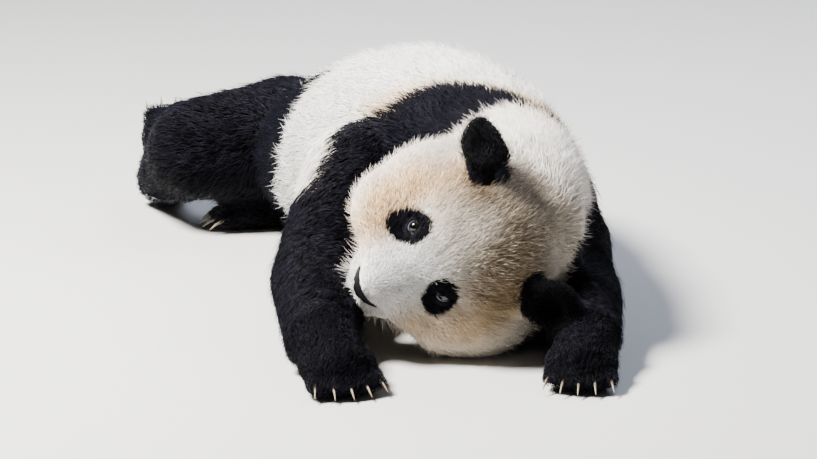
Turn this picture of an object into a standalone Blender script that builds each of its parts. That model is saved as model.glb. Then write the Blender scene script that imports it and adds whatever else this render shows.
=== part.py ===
"""Giant panda, life size, lying on its belly with its head rolled onto the left cheek.

Frame: metres, +Z up, floor at Z = 0. The spine runs along Y and the shoulders face -Y;
+X is the animal's left. The pose is worked out round the head's place, and the whole animal
is then moved so that the middle of its box is over the origin. The flesh reaches out to the
tips of the coat. Head, trunk and each leg are fused from balls and tapered limbs by a voxel
remesh. Where two of them meet, the one behind is cut back by a hair's breadth, and flat cuts
part each into the pieces that a person would name. Eyes, nose and claws are solids of their
own, seated in sockets.
"""

import math

import bmesh
import bpy
from mathutils import Matrix, Vector

# ---------------------------------------------------------------- head, metres
SKULL_HALF_WIDTH = 0.150       # cranium with its coat
CHEEK_HALF_WIDTH = 0.184       # across the jaw muscles and their ruff, the widest place
CHEEK_CENTRE = 0.086           # from the midline to the middle of each cheek
RUFF_FREE = (0.078, 0.082, 0.074)      # the front of the right cheek, which stands free
RUFF_PRESSED = (0.074, 0.078, 0.070)   # and of the left one, which bears the head's weight
MUZZLE_HALF_WIDTH = 0.060
NOSE_HALF_WIDTH = 0.034
NOSE_HALF_HEIGHT = 0.021
NOSE_HALF_DEPTH = 0.019
NOSE_PROUD = 0.007             # how far the nose stands out of the muzzle's coat
EYE_SPREAD = 0.0640            # from the midline to the middle of each eye
EYE_RISE = 0.0350              # above the skull's centre
EYE_RADIUS = 0.0120
EYE_DEPTH = 0.0050             # from the coat's surface down to the front of the eye
LID_OPENING = 0.0140           # radius of the gap in the coat in front of an eye
EAR_SPREAD = 0.137
EAR_HEIGHT = 0.124
EAR_BACK = 0.037
EAR_HALF_WIDTH = 0.054
EAR_HALF_THICKNESS = 0.026
JAW_HALF_WIDTH = 0.050
JAW_LENGTH = 0.150             # from the chin's front to the throat
MOUTH_FRONT = Vector((0, -0.190, -0.060))
MOUTH_SLOPE = math.radians(20)   # the mouth's line falls towards the throat

# ---------------------------------------------------------------- trunk, metres
# Along the spine: X, Y, half width, height of the coat over the floor.
SPINE = (
    (-0.016, 0.270, 0.192, 0.376),
    (-0.004, 0.400, 0.222, 0.384),
    (0.010, 0.570, 0.234, 0.370),
    (0.010, 0.730, 0.216, 0.308),
    (0.012, 0.850, 0.188, 0.258),
)
SPINE_BALLS = 30
BALL_HALF_LENGTH = 0.135
NECK_CUT = 0.195               # Y of the flat cut between neck and shoulders
SADDLE_CUT = 0.385             # between the shoulders and the trunk
RUMP_CUT = 0.745               # between the trunk and the rump
TAIL_LENGTH = 0.130

# ---------------------------------------------------------------- paws, metres
TOE_COUNT = 5
CLAW_LENGTH = 0.036
CLAW_RADIUS = 0.0056
CLAW_BEND = math.radians(48)

# ---------------------------------------------------------------- making, metres
BODY_VOXEL = 0.0085
HEAD_VOXEL = 0.0060
LEG_VOXEL = 0.0070
EAR_VOXEL = 0.0050
PARTING = 0.0006               # width of the flat cuts
FIT_GAP = 0.0005               # between pieces that touch
FLOOR = 0.0
SHARP_EDGE = math.radians(50)
WELD = 0.00003                 # crumbs of edges that a Boolean leaves
HALF_SPACE = 4.0               # side of the block that stands for all beyond a plane
TRIANGLES = {"head": 780, "ear": 100, "trunk": 570, "tail": 60, "fore": 325, "hind": 315}

# ---------------------------------------------------------------- pose
HEAD_CENTRE = Vector((-0.165, 0.000, 0.169))
HEAD_TURN = math.radians(-79.5)  # the nose points to the animal's right
HEAD_DIP = math.radians(11)      # and a little down
HEAD_ROLL = math.radians(65)     # the left cheek lies on the floor

# Each limb is a chain of joints: where it is, and its radius there with the coat.
LIMBS = {
    "fore_right": {
        "shoulder": (Vector((-0.176, 0.335, 0.198)), 0.114),
        "elbow": (Vector((-0.322, 0.190, 0.085)), 0.087),
        "wrist": (Vector((-0.414, -0.015, 0.055)), 0.061),
        "knuckles": (Vector((-0.428, -0.118, 0.040)), 0.046),
    },
    "fore_left": {
        "shoulder": (Vector((0.104, 0.300, 0.185)), 0.109),
        "elbow": (Vector((0.074, 0.060, 0.081)), 0.083),
        "wrist": (Vector((-0.020, -0.165, 0.052)), 0.057),
        "knuckles": (Vector((-0.076, -0.256, 0.038)), 0.043),
    },
    "hind_left": {
        "hip": (Vector((0.086, 0.840, 0.122)), 0.124),
        "knee": (Vector((0.130, 0.660, 0.086)), 0.090),
        "heel": (Vector((-0.075, 0.820, 0.050)), 0.054),
        "knuckles": (Vector((-0.184, 0.856, 0.037)), 0.041),
    },
    "hind_right": {
        "hip": (Vector((-0.095, 0.845, 0.150)), 0.122),
        "knee": (Vector((-0.258, 0.880, 0.148)), 0.092),
        "heel": (Vector((-0.250, 1.052, 0.052)), 0.056),
        "knuckles": (Vector((-0.220, 1.100, 0.126)), 0.042),
    },
}

# Which way the back of each paw faces.
PAW_BACKS = {
    "fore_right": Vector((0, 0, 1)),
    "fore_left": Vector((0, 0, 1)),
    "hind_left": Vector((0, 0, 1)),
    "hind_right": Vector((-0.35, -0.85, 0.35)),
}

LIMB_PIECES = {
    "fore": ("upper_arm", "forearm", "forepaw"),
    "hind": ("thigh", "shank", "hind_foot"),
}


def material(name, colour, roughness):
    made = bpy.data.materials.new(name)
    made.use_nodes = True
    shader = made.node_tree.nodes["Principled BSDF"]
    shader.inputs["Base Color"].default_value = (*colour, 1.0)
    shader.inputs["Roughness"].default_value = roughness
    shader.inputs["Metallic"].default_value = 0.0
    return made


def finish(obj, finish_material, parts):
    """Smooth shading, the one material, and a place among the animal's parts."""
    obj.data.materials.clear()
    obj.data.materials.append(finish_material)
    obj.data.shade_smooth()
    obj.data.set_sharp_from_angle(angle=SHARP_EDGE)
    bpy.context.scene.collection.objects.unlink(obj)
    parts.objects.link(obj)


def clear_scene():
    for obj in list(bpy.data.objects):
        bpy.data.objects.remove(obj, do_unlink=True)


# ---------------------------------------------------------------- forms
def ball(bm, centre, radii, turn=None):
    """An ellipsoid. turn is the rotation of its axes."""
    radii = Vector(radii) if hasattr(radii, "__len__") else Vector((radii,) * 3)
    place = Matrix.Translation(centre)
    if turn is not None:
        place = place @ turn.to_4x4()
    size = Matrix.Diagonal((*radii, 1.0))
    bmesh.ops.create_icosphere(bm, subdivisions=4, radius=1.0, matrix=place @ size)


def limb(bm, start, start_radius, end, end_radius):
    """A tapered length between two balls."""
    ball(bm, start, start_radius)
    ball(bm, end, end_radius)
    along = end - start
    turn = along.to_track_quat("Z", "Y").to_matrix().to_4x4()
    bmesh.ops.create_cone(
        bm,
        cap_ends=True,
        segments=40,
        radius1=start_radius,
        radius2=end_radius,
        depth=along.length,
        matrix=Matrix.Translation((start + end) / 2) @ turn,
    )


def head_matrix():
    """Places what is modelled round the skull's centre, facing -Y, in the head's pose."""
    turn = Matrix.Rotation(HEAD_TURN, 4, "Z")
    dip = Matrix.Rotation(HEAD_DIP, 4, "X")
    roll = Matrix.Rotation(HEAD_ROLL, 4, "Y")
    return Matrix.Translation(HEAD_CENTRE) @ turn @ dip @ roll


def paw_frame(limb_name):
    """The paw's frame: Y runs along it to the toes, Z out of its back, X across the toes."""
    joints = list(LIMBS[limb_name].values())
    wrist, knuckles = joints[-2][0], joints[-1][0]
    along = (knuckles - wrist).normalized()
    back = PAW_BACKS[limb_name]
    back = (back - along * back.dot(along)).normalized()
    across = along.cross(back)
    frame = Matrix((across, along, back)).transposed().to_4x4()
    frame.translation = knuckles
    return frame


def toes(limb_name):
    """Each toe's root, tip and radius, and the way out of its back, in the paw's fan."""
    frame = paw_frame(limb_name)
    radius = LIMBS[limb_name]["knuckles"][1]
    for number in range(TOE_COUNT):
        share = number / (TOE_COUNT - 1) * 2 - 1
        fan = math.radians(16) * share
        ahead = Vector((math.sin(fan), math.cos(fan), 0))
        root = Vector((share * radius * 0.98, radius * (0.74 - 0.30 * share**2), -radius * 0.30))
        tip = root + ahead * radius * 0.46
        yield frame @ root, frame @ tip, radius * 0.47, frame.to_3x3() @ Vector((0, 0, 1))


# ---------------------------------------------------------------- meshes and modifiers
def new_object(name, bm):
    mesh = bpy.data.meshes.new(name)
    bm.to_mesh(mesh)
    bm.free()
    obj = bpy.data.objects.new(name, mesh)
    bpy.context.scene.collection.objects.link(obj)
    return obj


def apply_modifiers(obj):
    """Replaces the object's mesh by its evaluated one."""
    bpy.context.view_layer.update()
    graph = bpy.context.evaluated_depsgraph_get()
    mesh = bpy.data.meshes.new_from_object(obj.evaluated_get(graph))
    obj.modifiers.clear()
    obj.data = mesh


def fuse(name, bm, voxel, softening, triangles):
    """One closed, softened form out of overlapping ones, with about that many triangles."""
    obj = new_object(name, bm)
    remesh = obj.modifiers.new("fuse", "REMESH")
    remesh.mode = "VOXEL"
    remesh.voxel_size = voxel
    soften = obj.modifiers.new("soften", "SMOOTH")
    soften.factor = 0.5
    soften.iterations = softening
    apply_modifiers(obj)
    obj.data.calc_loop_triangles()
    thin = obj.modifiers.new("thin", "DECIMATE")
    thin.ratio = triangles / len(obj.data.loop_triangles)
    apply_modifiers(obj)
    return obj


def combine(obj, other, operation):
    """A Boolean of two objects, applied to the first."""
    boolean = obj.modifiers.new("combine", "BOOLEAN")
    boolean.operation = operation
    boolean.object = other
    boolean.solver = "EXACT"
    apply_modifiers(obj)
    bm = bmesh.new()
    bm.from_mesh(obj.data)
    bmesh.ops.remove_doubles(bm, verts=bm.verts, dist=WELD)
    bmesh.ops.dissolve_degenerate(bm, edges=bm.edges, dist=WELD)
    bm.to_mesh(obj.data)
    bm.free()


def trim(obj, point, normal):
    """Takes off all that lies beyond a plane, on the side that its normal points to."""
    bm = bmesh.new()
    turn = normal.to_track_quat("Z", "Y").to_matrix().to_4x4()
    above = Matrix.Translation((0, 0, HALF_SPACE / 2))
    bmesh.ops.create_cube(bm, size=HALF_SPACE, matrix=Matrix.Translation(point) @ turn @ above)
    beyond = new_object("beyond", bm)
    combine(obj, beyond, "DIFFERENCE")
    bpy.data.objects.remove(beyond, do_unlink=True)


def stand(obj):
    """Presses the flesh flat where it rests on the floor."""
    trim(obj, Vector((0, 0, FLOOR)), Vector((0, 0, -1)))


def part_at(obj, point, normal, far_name):
    """Parts the object with a flat cut. What lies beyond it becomes a new object."""
    far = bpy.data.objects.new(far_name, obj.data.copy())
    bpy.context.scene.collection.objects.link(far)
    normal = normal.normalized()
    trim(obj, point - normal * PARTING / 2, normal)
    trim(far, point + normal * PARTING / 2, -normal)
    return far


def cut_away(obj, cutters, gap=FIT_GAP):
    """Cuts other pieces out of this one, and leaves a small gap round them."""
    for cutter in cutters:
        swollen = cutter.copy()
        swollen.data = cutter.data.copy()
        bpy.context.scene.collection.objects.link(swollen)
        swell = swollen.modifiers.new("swell", "DISPLACE")
        swell.strength = gap
        swell.mid_level = 0.0
        apply_modifiers(swollen)
        combine(obj, swollen, "DIFFERENCE")
        bpy.data.objects.remove(swollen, do_unlink=True)


def keep_main_body(obj):
    """Drops crumbs that a cut has left loose."""
    bm = bmesh.new()
    bm.from_mesh(obj.data)
    bmesh.ops.remove_doubles(bm, verts=bm.verts, dist=1e-6)
    todo = set(bm.faces)
    bodies = []
    while todo:
        seed = todo.pop()
        body = {seed}
        edge_of_body = [seed]
        while edge_of_body:
            face = edge_of_body.pop()
            for edge in face.edges:
                for near in edge.link_faces:
                    if near in todo:
                        todo.discard(near)
                        body.add(near)
                        edge_of_body.append(near)
        bodies.append(body)
    bodies.sort(key=lambda body: sum(face.calc_area() for face in body))
    crumbs = [face for body in bodies[:-1] for face in body]
    bmesh.ops.delete(bm, geom=crumbs, context="FACES")
    bmesh.ops.triangulate(bm, faces=bm.faces)
    bm.to_mesh(obj.data)
    bm.free()


# ---------------------------------------------------------------- trunk
def spine_section(share):
    """X, Y, half width and height of the trunk at a share of its length."""
    place = share * (len(SPINE) - 1)
    index = min(int(place), len(SPINE) - 2)
    part = place - index
    marks = [SPINE[min(max(index + step, 0), len(SPINE) - 1)] for step in (-1, 0, 1, 2)]
    section = []
    for a, b, c, d in zip(*marks):
        square = 2 * a - 5 * b + 4 * c - d
        cube = 3 * b - a - 3 * c + d
        section.append(0.5 * (2 * b + (c - a) * part + square * part**2 + cube * part**3))
    return section


def make_trunk():
    bm = bmesh.new()
    for number in range(SPINE_BALLS):
        x, y, half_width, height = spine_section(number / (SPINE_BALLS - 1))
        ball(bm, (x, y, height / 2 - 0.003), (half_width, BALL_HALF_LENGTH, height / 2 + 0.003))
    limb(bm, Vector((-0.002, 0.270, 0.210)), 0.170, Vector((-0.058, 0.050, 0.190)), 0.158)
    return fuse("neck", bm, BODY_VOXEL, 8, TRIANGLES["trunk"])


def make_tail():
    bm = bmesh.new()
    root = Vector((0.020, 0.935, 0.160))
    limb(bm, root, 0.040, root + Vector((0.015, TAIL_LENGTH * 0.50, -0.075)), 0.030)
    return fuse("tail", bm, BODY_VOXEL, 3, TRIANGLES["tail"])


# ---------------------------------------------------------------- legs
def make_leg(limb_name):
    bm = bmesh.new()
    joints = list(LIMBS[limb_name].values())
    for (start, start_radius), (end, end_radius) in zip(joints, joints[1:]):
        limb(bm, start, start_radius, end, end_radius)
    radius = joints[-1][1]
    frame = paw_frame(limb_name)
    palm = frame @ Vector((0, -radius * 0.35, -radius * 0.10))
    ball(bm, palm, (radius * 1.42, radius * 1.30, radius * 0.86), frame.to_3x3())
    for root, tip, toe_radius, _ in toes(limb_name):
        limb(bm, root, toe_radius, tip, toe_radius * 0.84)
    return fuse(limb_name, bm, LEG_VOXEL, 4, TRIANGLES[limb_name.split("_")[0]])


def claw(name, base, ahead, back):
    """A claw: a cone, bent over towards the ground, that starts inside the toe."""
    bm = bmesh.new()
    bmesh.ops.create_cone(
        bm,
        cap_ends=True,
        segments=6,
        radius1=CLAW_RADIUS,
        radius2=CLAW_RADIUS * 0.14,
        depth=CLAW_LENGTH,
        matrix=Matrix.Translation((0, 0, CLAW_LENGTH / 2)),
    )
    lengthwise = [edge for edge in bm.edges if abs(edge.verts[0].co.z - edge.verts[1].co.z) > 1e-6]
    bmesh.ops.subdivide_edges(bm, edges=lengthwise, cuts=1, use_grid_fill=True)
    bend_radius = CLAW_LENGTH / CLAW_BEND
    for vert in bm.verts:
        angle = vert.co.z / bend_radius
        slim = 1.0 - 0.25 * abs(vert.co.x) / CLAW_RADIUS
        reach = bend_radius + vert.co.y * slim
        vert.co = Vector((vert.co.x * 0.72, reach * math.sin(angle), reach * math.cos(angle) - bend_radius))
    across = ahead.cross(back).normalized()
    frame = Matrix((across, ahead, across.cross(ahead))).transposed().to_4x4()
    frame.translation = base
    bmesh.ops.transform(bm, matrix=frame, verts=bm.verts)
    bmesh.ops.recalc_face_normals(bm, faces=bm.faces)
    bmesh.ops.triangulate(bm, faces=bm.faces)
    return new_object(name, bm)


def make_claws(limb_name):
    made = []
    for number, (root, tip, toe_radius, back) in enumerate(toes(limb_name), start=1):
        ahead = (tip - root).normalized()
        ahead = (ahead + back * 0.10).normalized()
        base = tip - ahead * toe_radius * 0.15 + back * toe_radius * 0.22
        made.append(claw(f"claw_{limb_name}_{number}", base, ahead, back))
    return made


# ---------------------------------------------------------------- head
def make_head():
    """The head is made round its own centre, facing -Y."""
    bm = bmesh.new()
    ball(bm, (0, 0.030, 0.022), (SKULL_HALF_WIDTH, 0.130, 0.122))
    ball(bm, (0, -0.035, 0.045), (0.095, 0.075, 0.072))
    for side in (-1, 1):
        cheek_radii = (CHEEK_HALF_WIDTH - CHEEK_CENTRE, 0.115, 0.112)
        ball(bm, (side * CHEEK_CENTRE, 0.010, -0.028), cheek_radii)
        ball(bm, (side * 0.052, -0.062, -0.010), (0.062, 0.058, 0.062))
        ball(bm, (side * 0.056, -0.092, -0.036), (0.050, 0.050, 0.050))
        ball(bm, (side * 0.026, -0.142, -0.042), (0.034, 0.036, 0.036))
    ball(bm, (-0.094, -0.056, -0.034), RUFF_FREE)
    ball(bm, (0.086, -0.044, -0.028), RUFF_PRESSED)
    limb(bm, Vector((0, -0.070, -0.022)), 0.074, Vector((0, -0.126, -0.032)), MUZZLE_HALF_WIDTH)
    ball(bm, (0, -0.095, -0.075), (0.052, 0.068, 0.040))
    return fuse("head", bm, HEAD_VOXEL, 6, TRIANGLES["head"])


def make_ear(side_name, side):
    """A round ear: its shallow cup faces forwards and outwards."""
    lean = Matrix.Rotation(math.radians(-28), 3, "X") @ Matrix.Rotation(math.radians(side * 24), 3, "Y")
    turn = Matrix.Rotation(math.radians(side * 22), 3, "Z") @ lean
    centre = Vector((side * EAR_SPREAD, EAR_BACK, EAR_HEIGHT))
    bm = bmesh.new()
    ball(bm, centre, (EAR_HALF_WIDTH * 0.92, EAR_HALF_THICKNESS, EAR_HALF_WIDTH), turn)
    made = fuse(f"ear_{side_name}", bm, EAR_VOXEL, 2, TRIANGLES["ear"])
    cup = bmesh.new()
    hollow = centre + turn @ Vector((0, -EAR_HALF_THICKNESS * 1.35, EAR_HALF_WIDTH * 0.10))
    hollow_radii = (EAR_HALF_WIDTH * 0.60, EAR_HALF_THICKNESS * 0.95, EAR_HALF_WIDTH * 0.62)
    bmesh.ops.create_uvsphere(
        cup,
        u_segments=10,
        v_segments=6,
        radius=1.0,
        matrix=Matrix.Translation(hollow) @ turn.to_4x4() @ Matrix.Diagonal((*hollow_radii, 1.0)),
    )
    cutter = new_object("ear_cup", cup)
    cut_away(made, [cutter])
    bpy.data.objects.remove(cutter, do_unlink=True)
    return made


def surface_from(obj, origin, direction):
    """Where a line from inside the object leaves it."""
    found, point, _, _ = obj.ray_cast(origin, direction)
    return point if found else origin


def make_eye(side_name, side, head):
    """The eyeball, and the gap in the coat that shows it."""
    behind = Vector((side * EYE_SPREAD * 0.80, 0, EYE_RISE * 0.85))
    ahead = (Vector((side * EYE_SPREAD, -0.10, EYE_RISE)) - behind).normalized()
    front = surface_from(head, behind, ahead)
    centre = front - ahead * (EYE_DEPTH + EYE_RADIUS)
    eye_bm = bmesh.new()
    bmesh.ops.create_uvsphere(
        eye_bm, u_segments=10, v_segments=6, radius=EYE_RADIUS, matrix=Matrix.Translation(centre)
    )
    eye = new_object(f"eye_{side_name}", eye_bm)
    opening_bm = bmesh.new()
    turn = ahead.to_track_quat("Z", "Y").to_matrix().to_4x4()
    bmesh.ops.create_cone(
        opening_bm,
        cap_ends=True,
        segments=10,
        radius1=EYE_RADIUS * 0.80,
        radius2=LID_OPENING * 1.5,
        depth=EYE_RADIUS * 3.4,
        matrix=Matrix.Translation(centre + ahead * EYE_RADIUS * 2.1) @ turn,
    )
    opening = new_object("eye_opening", opening_bm)
    cut_away(head, [opening, eye])
    bpy.data.objects.remove(opening, do_unlink=True)
    return eye


def make_nose(head):
    """The bare nose pad, wide and low, set into the front of the muzzle."""
    ahead = Vector((0, -1, 0.10)).normalized()
    front = surface_from(head, Vector((0, -0.100, -0.020)), ahead)
    centre = front + ahead * (NOSE_PROUD - NOSE_HALF_DEPTH)
    bm = bmesh.new()
    bmesh.ops.create_uvsphere(bm, u_segments=12, v_segments=6, radius=1.0)
    for vert in bm.verts:
        x, y, z = vert.co
        narrow = 1.0 - 0.34 * max(0.0, -z)
        vert.co = Vector((
            x * NOSE_HALF_WIDTH * narrow,
            y * NOSE_HALF_DEPTH,
            z * NOSE_HALF_HEIGHT - 0.004 * abs(x) ** 2,
        ))
    bmesh.ops.translate(bm, verts=bm.verts, vec=centre)
    bmesh.ops.triangulate(bm, faces=bm.faces)
    nose = new_object("nose", bm)
    cut_away(head, [nose])
    return nose


def make_jaw(head):
    """Parts the lower jaw from the head along the mouth."""
    block_bm = bmesh.new()
    bmesh.ops.create_cube(block_bm, size=1.0)
    size = Matrix.Diagonal((JAW_HALF_WIDTH * 2, JAW_LENGTH, JAW_LENGTH, 1.0))
    below = Matrix.Translation((0, JAW_LENGTH / 2, -JAW_LENGTH / 2))
    tilt = Matrix.Rotation(-MOUTH_SLOPE, 4, "X")
    block_bm.transform(Matrix.Translation(MOUTH_FRONT) @ tilt @ below @ size)
    block = new_object("jaw_block", block_bm)
    jaw = bpy.data.objects.new("jaw", head.data.copy())
    bpy.context.scene.collection.objects.link(jaw)
    combine(jaw, block, "INTERSECT")
    cut_away(head, [block])
    bpy.data.objects.remove(block, do_unlink=True)
    return jaw


def head_pieces():
    """Head, jaw, ears, eyes and nose, in the head's pose."""
    head = make_head()
    ears = [make_ear(name, side) for name, side in (("left", 1), ("right", -1))]
    for made in ears:
        cut_away(made, [head])
    eyes = [make_eye(name, side, head) for name, side in (("left", 1), ("right", -1))]
    nose = make_nose(head)
    jaw = make_jaw(head)
    for piece in (head, jaw, nose, *ears, *eyes):
        piece.data.transform(head_matrix())
    for piece in (head, jaw):
        stand(piece)
    return head, jaw, nose, ears, eyes


# ---------------------------------------------------------------- assembly
def joint_plane(limb_name, index):
    """The plane that halves a joint's bend."""
    points = [point for point, _ in LIMBS[limb_name].values()]
    before = (points[index] - points[index - 1]).normalized()
    after = (points[index + 1] - points[index]).normalized()
    return points[index], before + after


def leg_pieces(limb_name, leg):
    """The leg parted at its joints, and its claws."""
    kind, side = limb_name.split("_")
    upper_name, middle_name, foot_name = (f"{piece}_{side}" for piece in LIMB_PIECES[kind])
    claws = make_claws(limb_name)
    cut_away(leg, claws)
    foot = part_at(leg, *joint_plane(limb_name, 2), foot_name)
    middle = part_at(leg, *joint_plane(limb_name, 1), middle_name)
    leg.name = upper_name
    return [leg, middle, foot], claws


def centre_over_origin(pieces):
    """Moves the whole animal so that the middle of its box stands over the origin."""
    points = [vert.co for piece in pieces for vert in piece.data.vertices]
    low = Vector(min(point[axis] for point in points) for axis in range(3))
    high = Vector(max(point[axis] for point in points) for axis in range(3))
    middle = (low + high) / 2
    for piece in pieces:
        piece.data.transform(Matrix.Translation((-middle.x, -middle.y, 0)))


def build():
    clear_scene()
    head, jaw, nose, ears, eyes = head_pieces()
    legs = {}
    for limb_name in LIMBS:
        leg = make_leg(limb_name)
        stand(leg)
        cut_away(leg, [head, jaw, *ears])
        legs[limb_name] = leg
    cut_away(legs["hind_right"], [legs["hind_left"]])
    neck = make_trunk()
    tail = make_tail()
    cut_away(tail, [neck])
    stand(neck)
    cut_away(neck, [head, *ears, *legs.values()])
    shoulders = part_at(neck, Vector((0, NECK_CUT, 0)), Vector((0, 1, 0)), "shoulders")
    trunk = part_at(shoulders, Vector((0, SADDLE_CUT, 0)), Vector((0, 1, 0)), "trunk")
    rump = part_at(trunk, Vector((0, RUMP_CUT, 0)), Vector((0, 1, 0)), "rump")
    white_flesh = [head, jaw, neck, trunk, rump, tail]
    black_flesh = [*ears, shoulders]
    claws = []
    for limb_name, leg in legs.items():
        leg_set, claw_set = leg_pieces(limb_name, leg)
        black_flesh += leg_set
        claws += claw_set
    for piece in white_flesh + black_flesh:
        keep_main_body(piece)
    centre_over_origin([*white_flesh, *black_flesh, *claws, *eyes, nose])
    parts = bpy.data.collections.new("giant_panda")
    bpy.context.scene.collection.children.link(parts)
    finishes = (
        (white_flesh, material("cream_coat", (0.76, 0.71, 0.62), 0.85)),
        (black_flesh, material("black_coat", (0.018, 0.017, 0.020), 0.75)),
        ([nose], material("nose_skin", (0.022, 0.017, 0.016), 0.45)),
        (eyes, material("wet_eye", (0.014, 0.009, 0.007), 0.08)),
        (claws, material("claw_horn", (0.30, 0.25, 0.19), 0.40)),
    )
    for pieces, finish_material in finishes:
        for piece in pieces:
            finish(piece, finish_material, parts)


build()
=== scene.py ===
import math

import bmesh
import bpy
import numpy as np
from mathutils import Matrix, Vector, noise
from mathutils.bvhtree import BVHTree
from mathutils.kdtree import KDTree


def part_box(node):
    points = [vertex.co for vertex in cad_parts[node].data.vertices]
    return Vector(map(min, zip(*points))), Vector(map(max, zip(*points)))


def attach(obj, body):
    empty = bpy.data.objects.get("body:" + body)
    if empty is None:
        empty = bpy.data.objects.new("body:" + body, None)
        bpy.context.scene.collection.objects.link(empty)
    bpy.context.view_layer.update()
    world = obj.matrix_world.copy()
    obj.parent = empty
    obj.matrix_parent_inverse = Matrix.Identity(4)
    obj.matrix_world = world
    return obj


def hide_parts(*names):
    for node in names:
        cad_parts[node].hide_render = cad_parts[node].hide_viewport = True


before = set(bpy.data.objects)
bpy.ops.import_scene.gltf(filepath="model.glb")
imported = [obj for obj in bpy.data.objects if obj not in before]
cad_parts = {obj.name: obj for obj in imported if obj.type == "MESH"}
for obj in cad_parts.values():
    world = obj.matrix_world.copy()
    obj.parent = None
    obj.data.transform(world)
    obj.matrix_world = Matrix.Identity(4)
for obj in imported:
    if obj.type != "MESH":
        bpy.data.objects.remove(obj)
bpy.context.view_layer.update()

# ---------------------------------------------------------------- where the head is
# The panda lies on its belly along Y, with its head rolled onto the left cheek. The head's own
# directions come from its eyes and nose: X to its left, Y to the back of the skull, Z to the
# crown, and all places on the head are measured from the middle between the two eyes.
NOSE_DROP = math.radians(28.8)      # how far the nose lies below the eyes, seen from the side


def middle(node):
    low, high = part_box(node)
    return (low + high) / 2


between_eyes = (middle("eye_left") + middle("eye_right")) / 2
head_left = (middle("eye_left") - middle("eye_right")).normalized()
to_nose = middle("nose") - between_eyes
to_nose = (to_nose - head_left * to_nose.dot(head_left)).normalized()
head_ahead = Matrix.Rotation(-NOSE_DROP, 3, head_left) @ to_nose
head_up = head_left.cross(-head_ahead)
head_turn = Matrix((head_left, -head_ahead, head_up)).transposed()
HEAD_AXES = np.array(head_turn)


def in_head(points):
    """Points or directions of the scene, measured in the head's frame."""
    return (np.asarray(points) - np.array(between_eyes)) @ HEAD_AXES


def from_head(place):
    return between_eyes + head_turn @ Vector(place)


# ---------------------------------------------------------------- camera, floor and light
# A long lens looks down at the face from the animal's front right. The floor is a plain pale
# studio floor. One soft light from above the right side gives the coat its form, with two
# weaker ones and a little light from all round.
CAMERA_TURN = math.radians(-25)
CAMERA_RISE = math.radians(15)
LENS_MM = 180
SENSOR_MM = 36
FRAME_WIDTH = 1.297         # that the camera takes in, at the face's distance
AIM_FROM_EYES = Vector((-0.0124, 0.0458, 0.0440))
SIGHT = 200.0               # how far from the camera things are still drawn
FLOOR_SIZE = 30.0
FLOOR_TONES = ("#bdbcb8", "#c1c0bd")
CLOUDS_IN_METRE = 1.5       # of the floor's unevenness
ROOM_COLOUR = "#e6eaf0"
ROOM_STRENGTH = 0.07
LIT_PLACE = Vector((0, 0, 0.2))     # that the lights face
LIGHTS = (
    # name, turn and rise in degrees, distance, width, power in watts, colour
    ("key", -91, 57, 3.4, 1.0, 830, "#fffdf9"),
    ("fill", -20, 40, 4.2, 3.0, 3, "#eef3ff"),
    ("back", 118, 48, 3.6, 2.4, 150, "#dfe8ff"),
)


def linear(colour):
    """An sRGB hex colour as linear red, green, blue and alpha."""
    channels = [int(colour[place : place + 2], 16) / 255 for place in (1, 3, 5)]
    return (*[c / 12.92 if c <= 0.04045 else ((c + 0.055) / 1.055) ** 2.4 for c in channels], 1.0)


def new_material(name, **values):
    """A Principled material, with values on the shader's own sockets."""
    made = bpy.data.materials.new(name)
    made.use_nodes = True
    shader = made.node_tree.nodes["Principled BSDF"]
    for socket, value in values.items():
        shader.inputs[socket.replace("_", " ")].default_value = value
    return made, shader


def add_node(material, kind, settings=None, inputs=None, output=0):
    """Adds a node with its settings and links, and gives the output asked for."""
    tree = material.node_tree
    node = tree.nodes.new("ShaderNode" + kind)
    for name, value in (settings or {}).items():
        setattr(node, name, value)
    for name, value in (inputs or {}).items():
        if isinstance(value, bpy.types.NodeSocket):
            tree.links.new(value, node.inputs[name])
        else:
            node.inputs[name].default_value = value
    return node.outputs[output]


def mixed(material, share, low, high):
    """One colour at share 0 and another at 1, each a hex colour or the output of a node."""
    low, high = [linear(colour) if isinstance(colour, str) else colour for colour in (low, high)]
    return add_node(material, "Mix", {"data_type": "RGBA"}, {0: share, 6: low, 7: high}, 2)


def clouds(material, scale, detail):
    """Noise of about so many waves in a metre."""
    where = add_node(material, "TexCoord", output="Object")
    return add_node(material, "TexNoise", inputs={"Vector": where, "Scale": scale, "Detail": detail})


def ranged(material, value, before, after):
    """A value moved from one range to another, and held at its ends."""
    return add_node(material, "MapRange", inputs={
        "Value": value, "From Min": before[0], "From Max": before[1],
        "To Min": after[0], "To Max": after[1]})


def stored(material, name):
    """Numbers that are kept under a name at the vertices."""
    return add_node(material, "Attribute", {"attribute_name": name}, output="Fac")


def feed(shader, **sources):
    """Links outputs of nodes to the shader's own sockets."""
    for socket, source in sources.items():
        shader.id_data.links.new(source, shader.inputs[socket.replace("_", " ")])


def direction(turn, rise):
    """From the animal towards a camera or light: turn 0 is in front, at -Y."""
    return Vector((math.sin(turn) * math.cos(rise), -math.cos(turn) * math.cos(rise), math.sin(rise)))


def new_object(name, data):
    made = bpy.data.objects.new(name, data)
    bpy.context.scene.collection.objects.link(made)
    return made


def aim_along(obj, place, way):
    """Puts a camera or light at a place and turns it to look along a way."""
    obj.location = place
    obj.rotation_mode = "QUATERNION"
    obj.rotation_quaternion = way.to_track_quat("-Z", "Y")


def finished(bm, name):
    """The bmesh as a mesh."""
    made = bpy.data.meshes.new(name)
    bm.to_mesh(made)
    bm.free()
    return made


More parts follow.
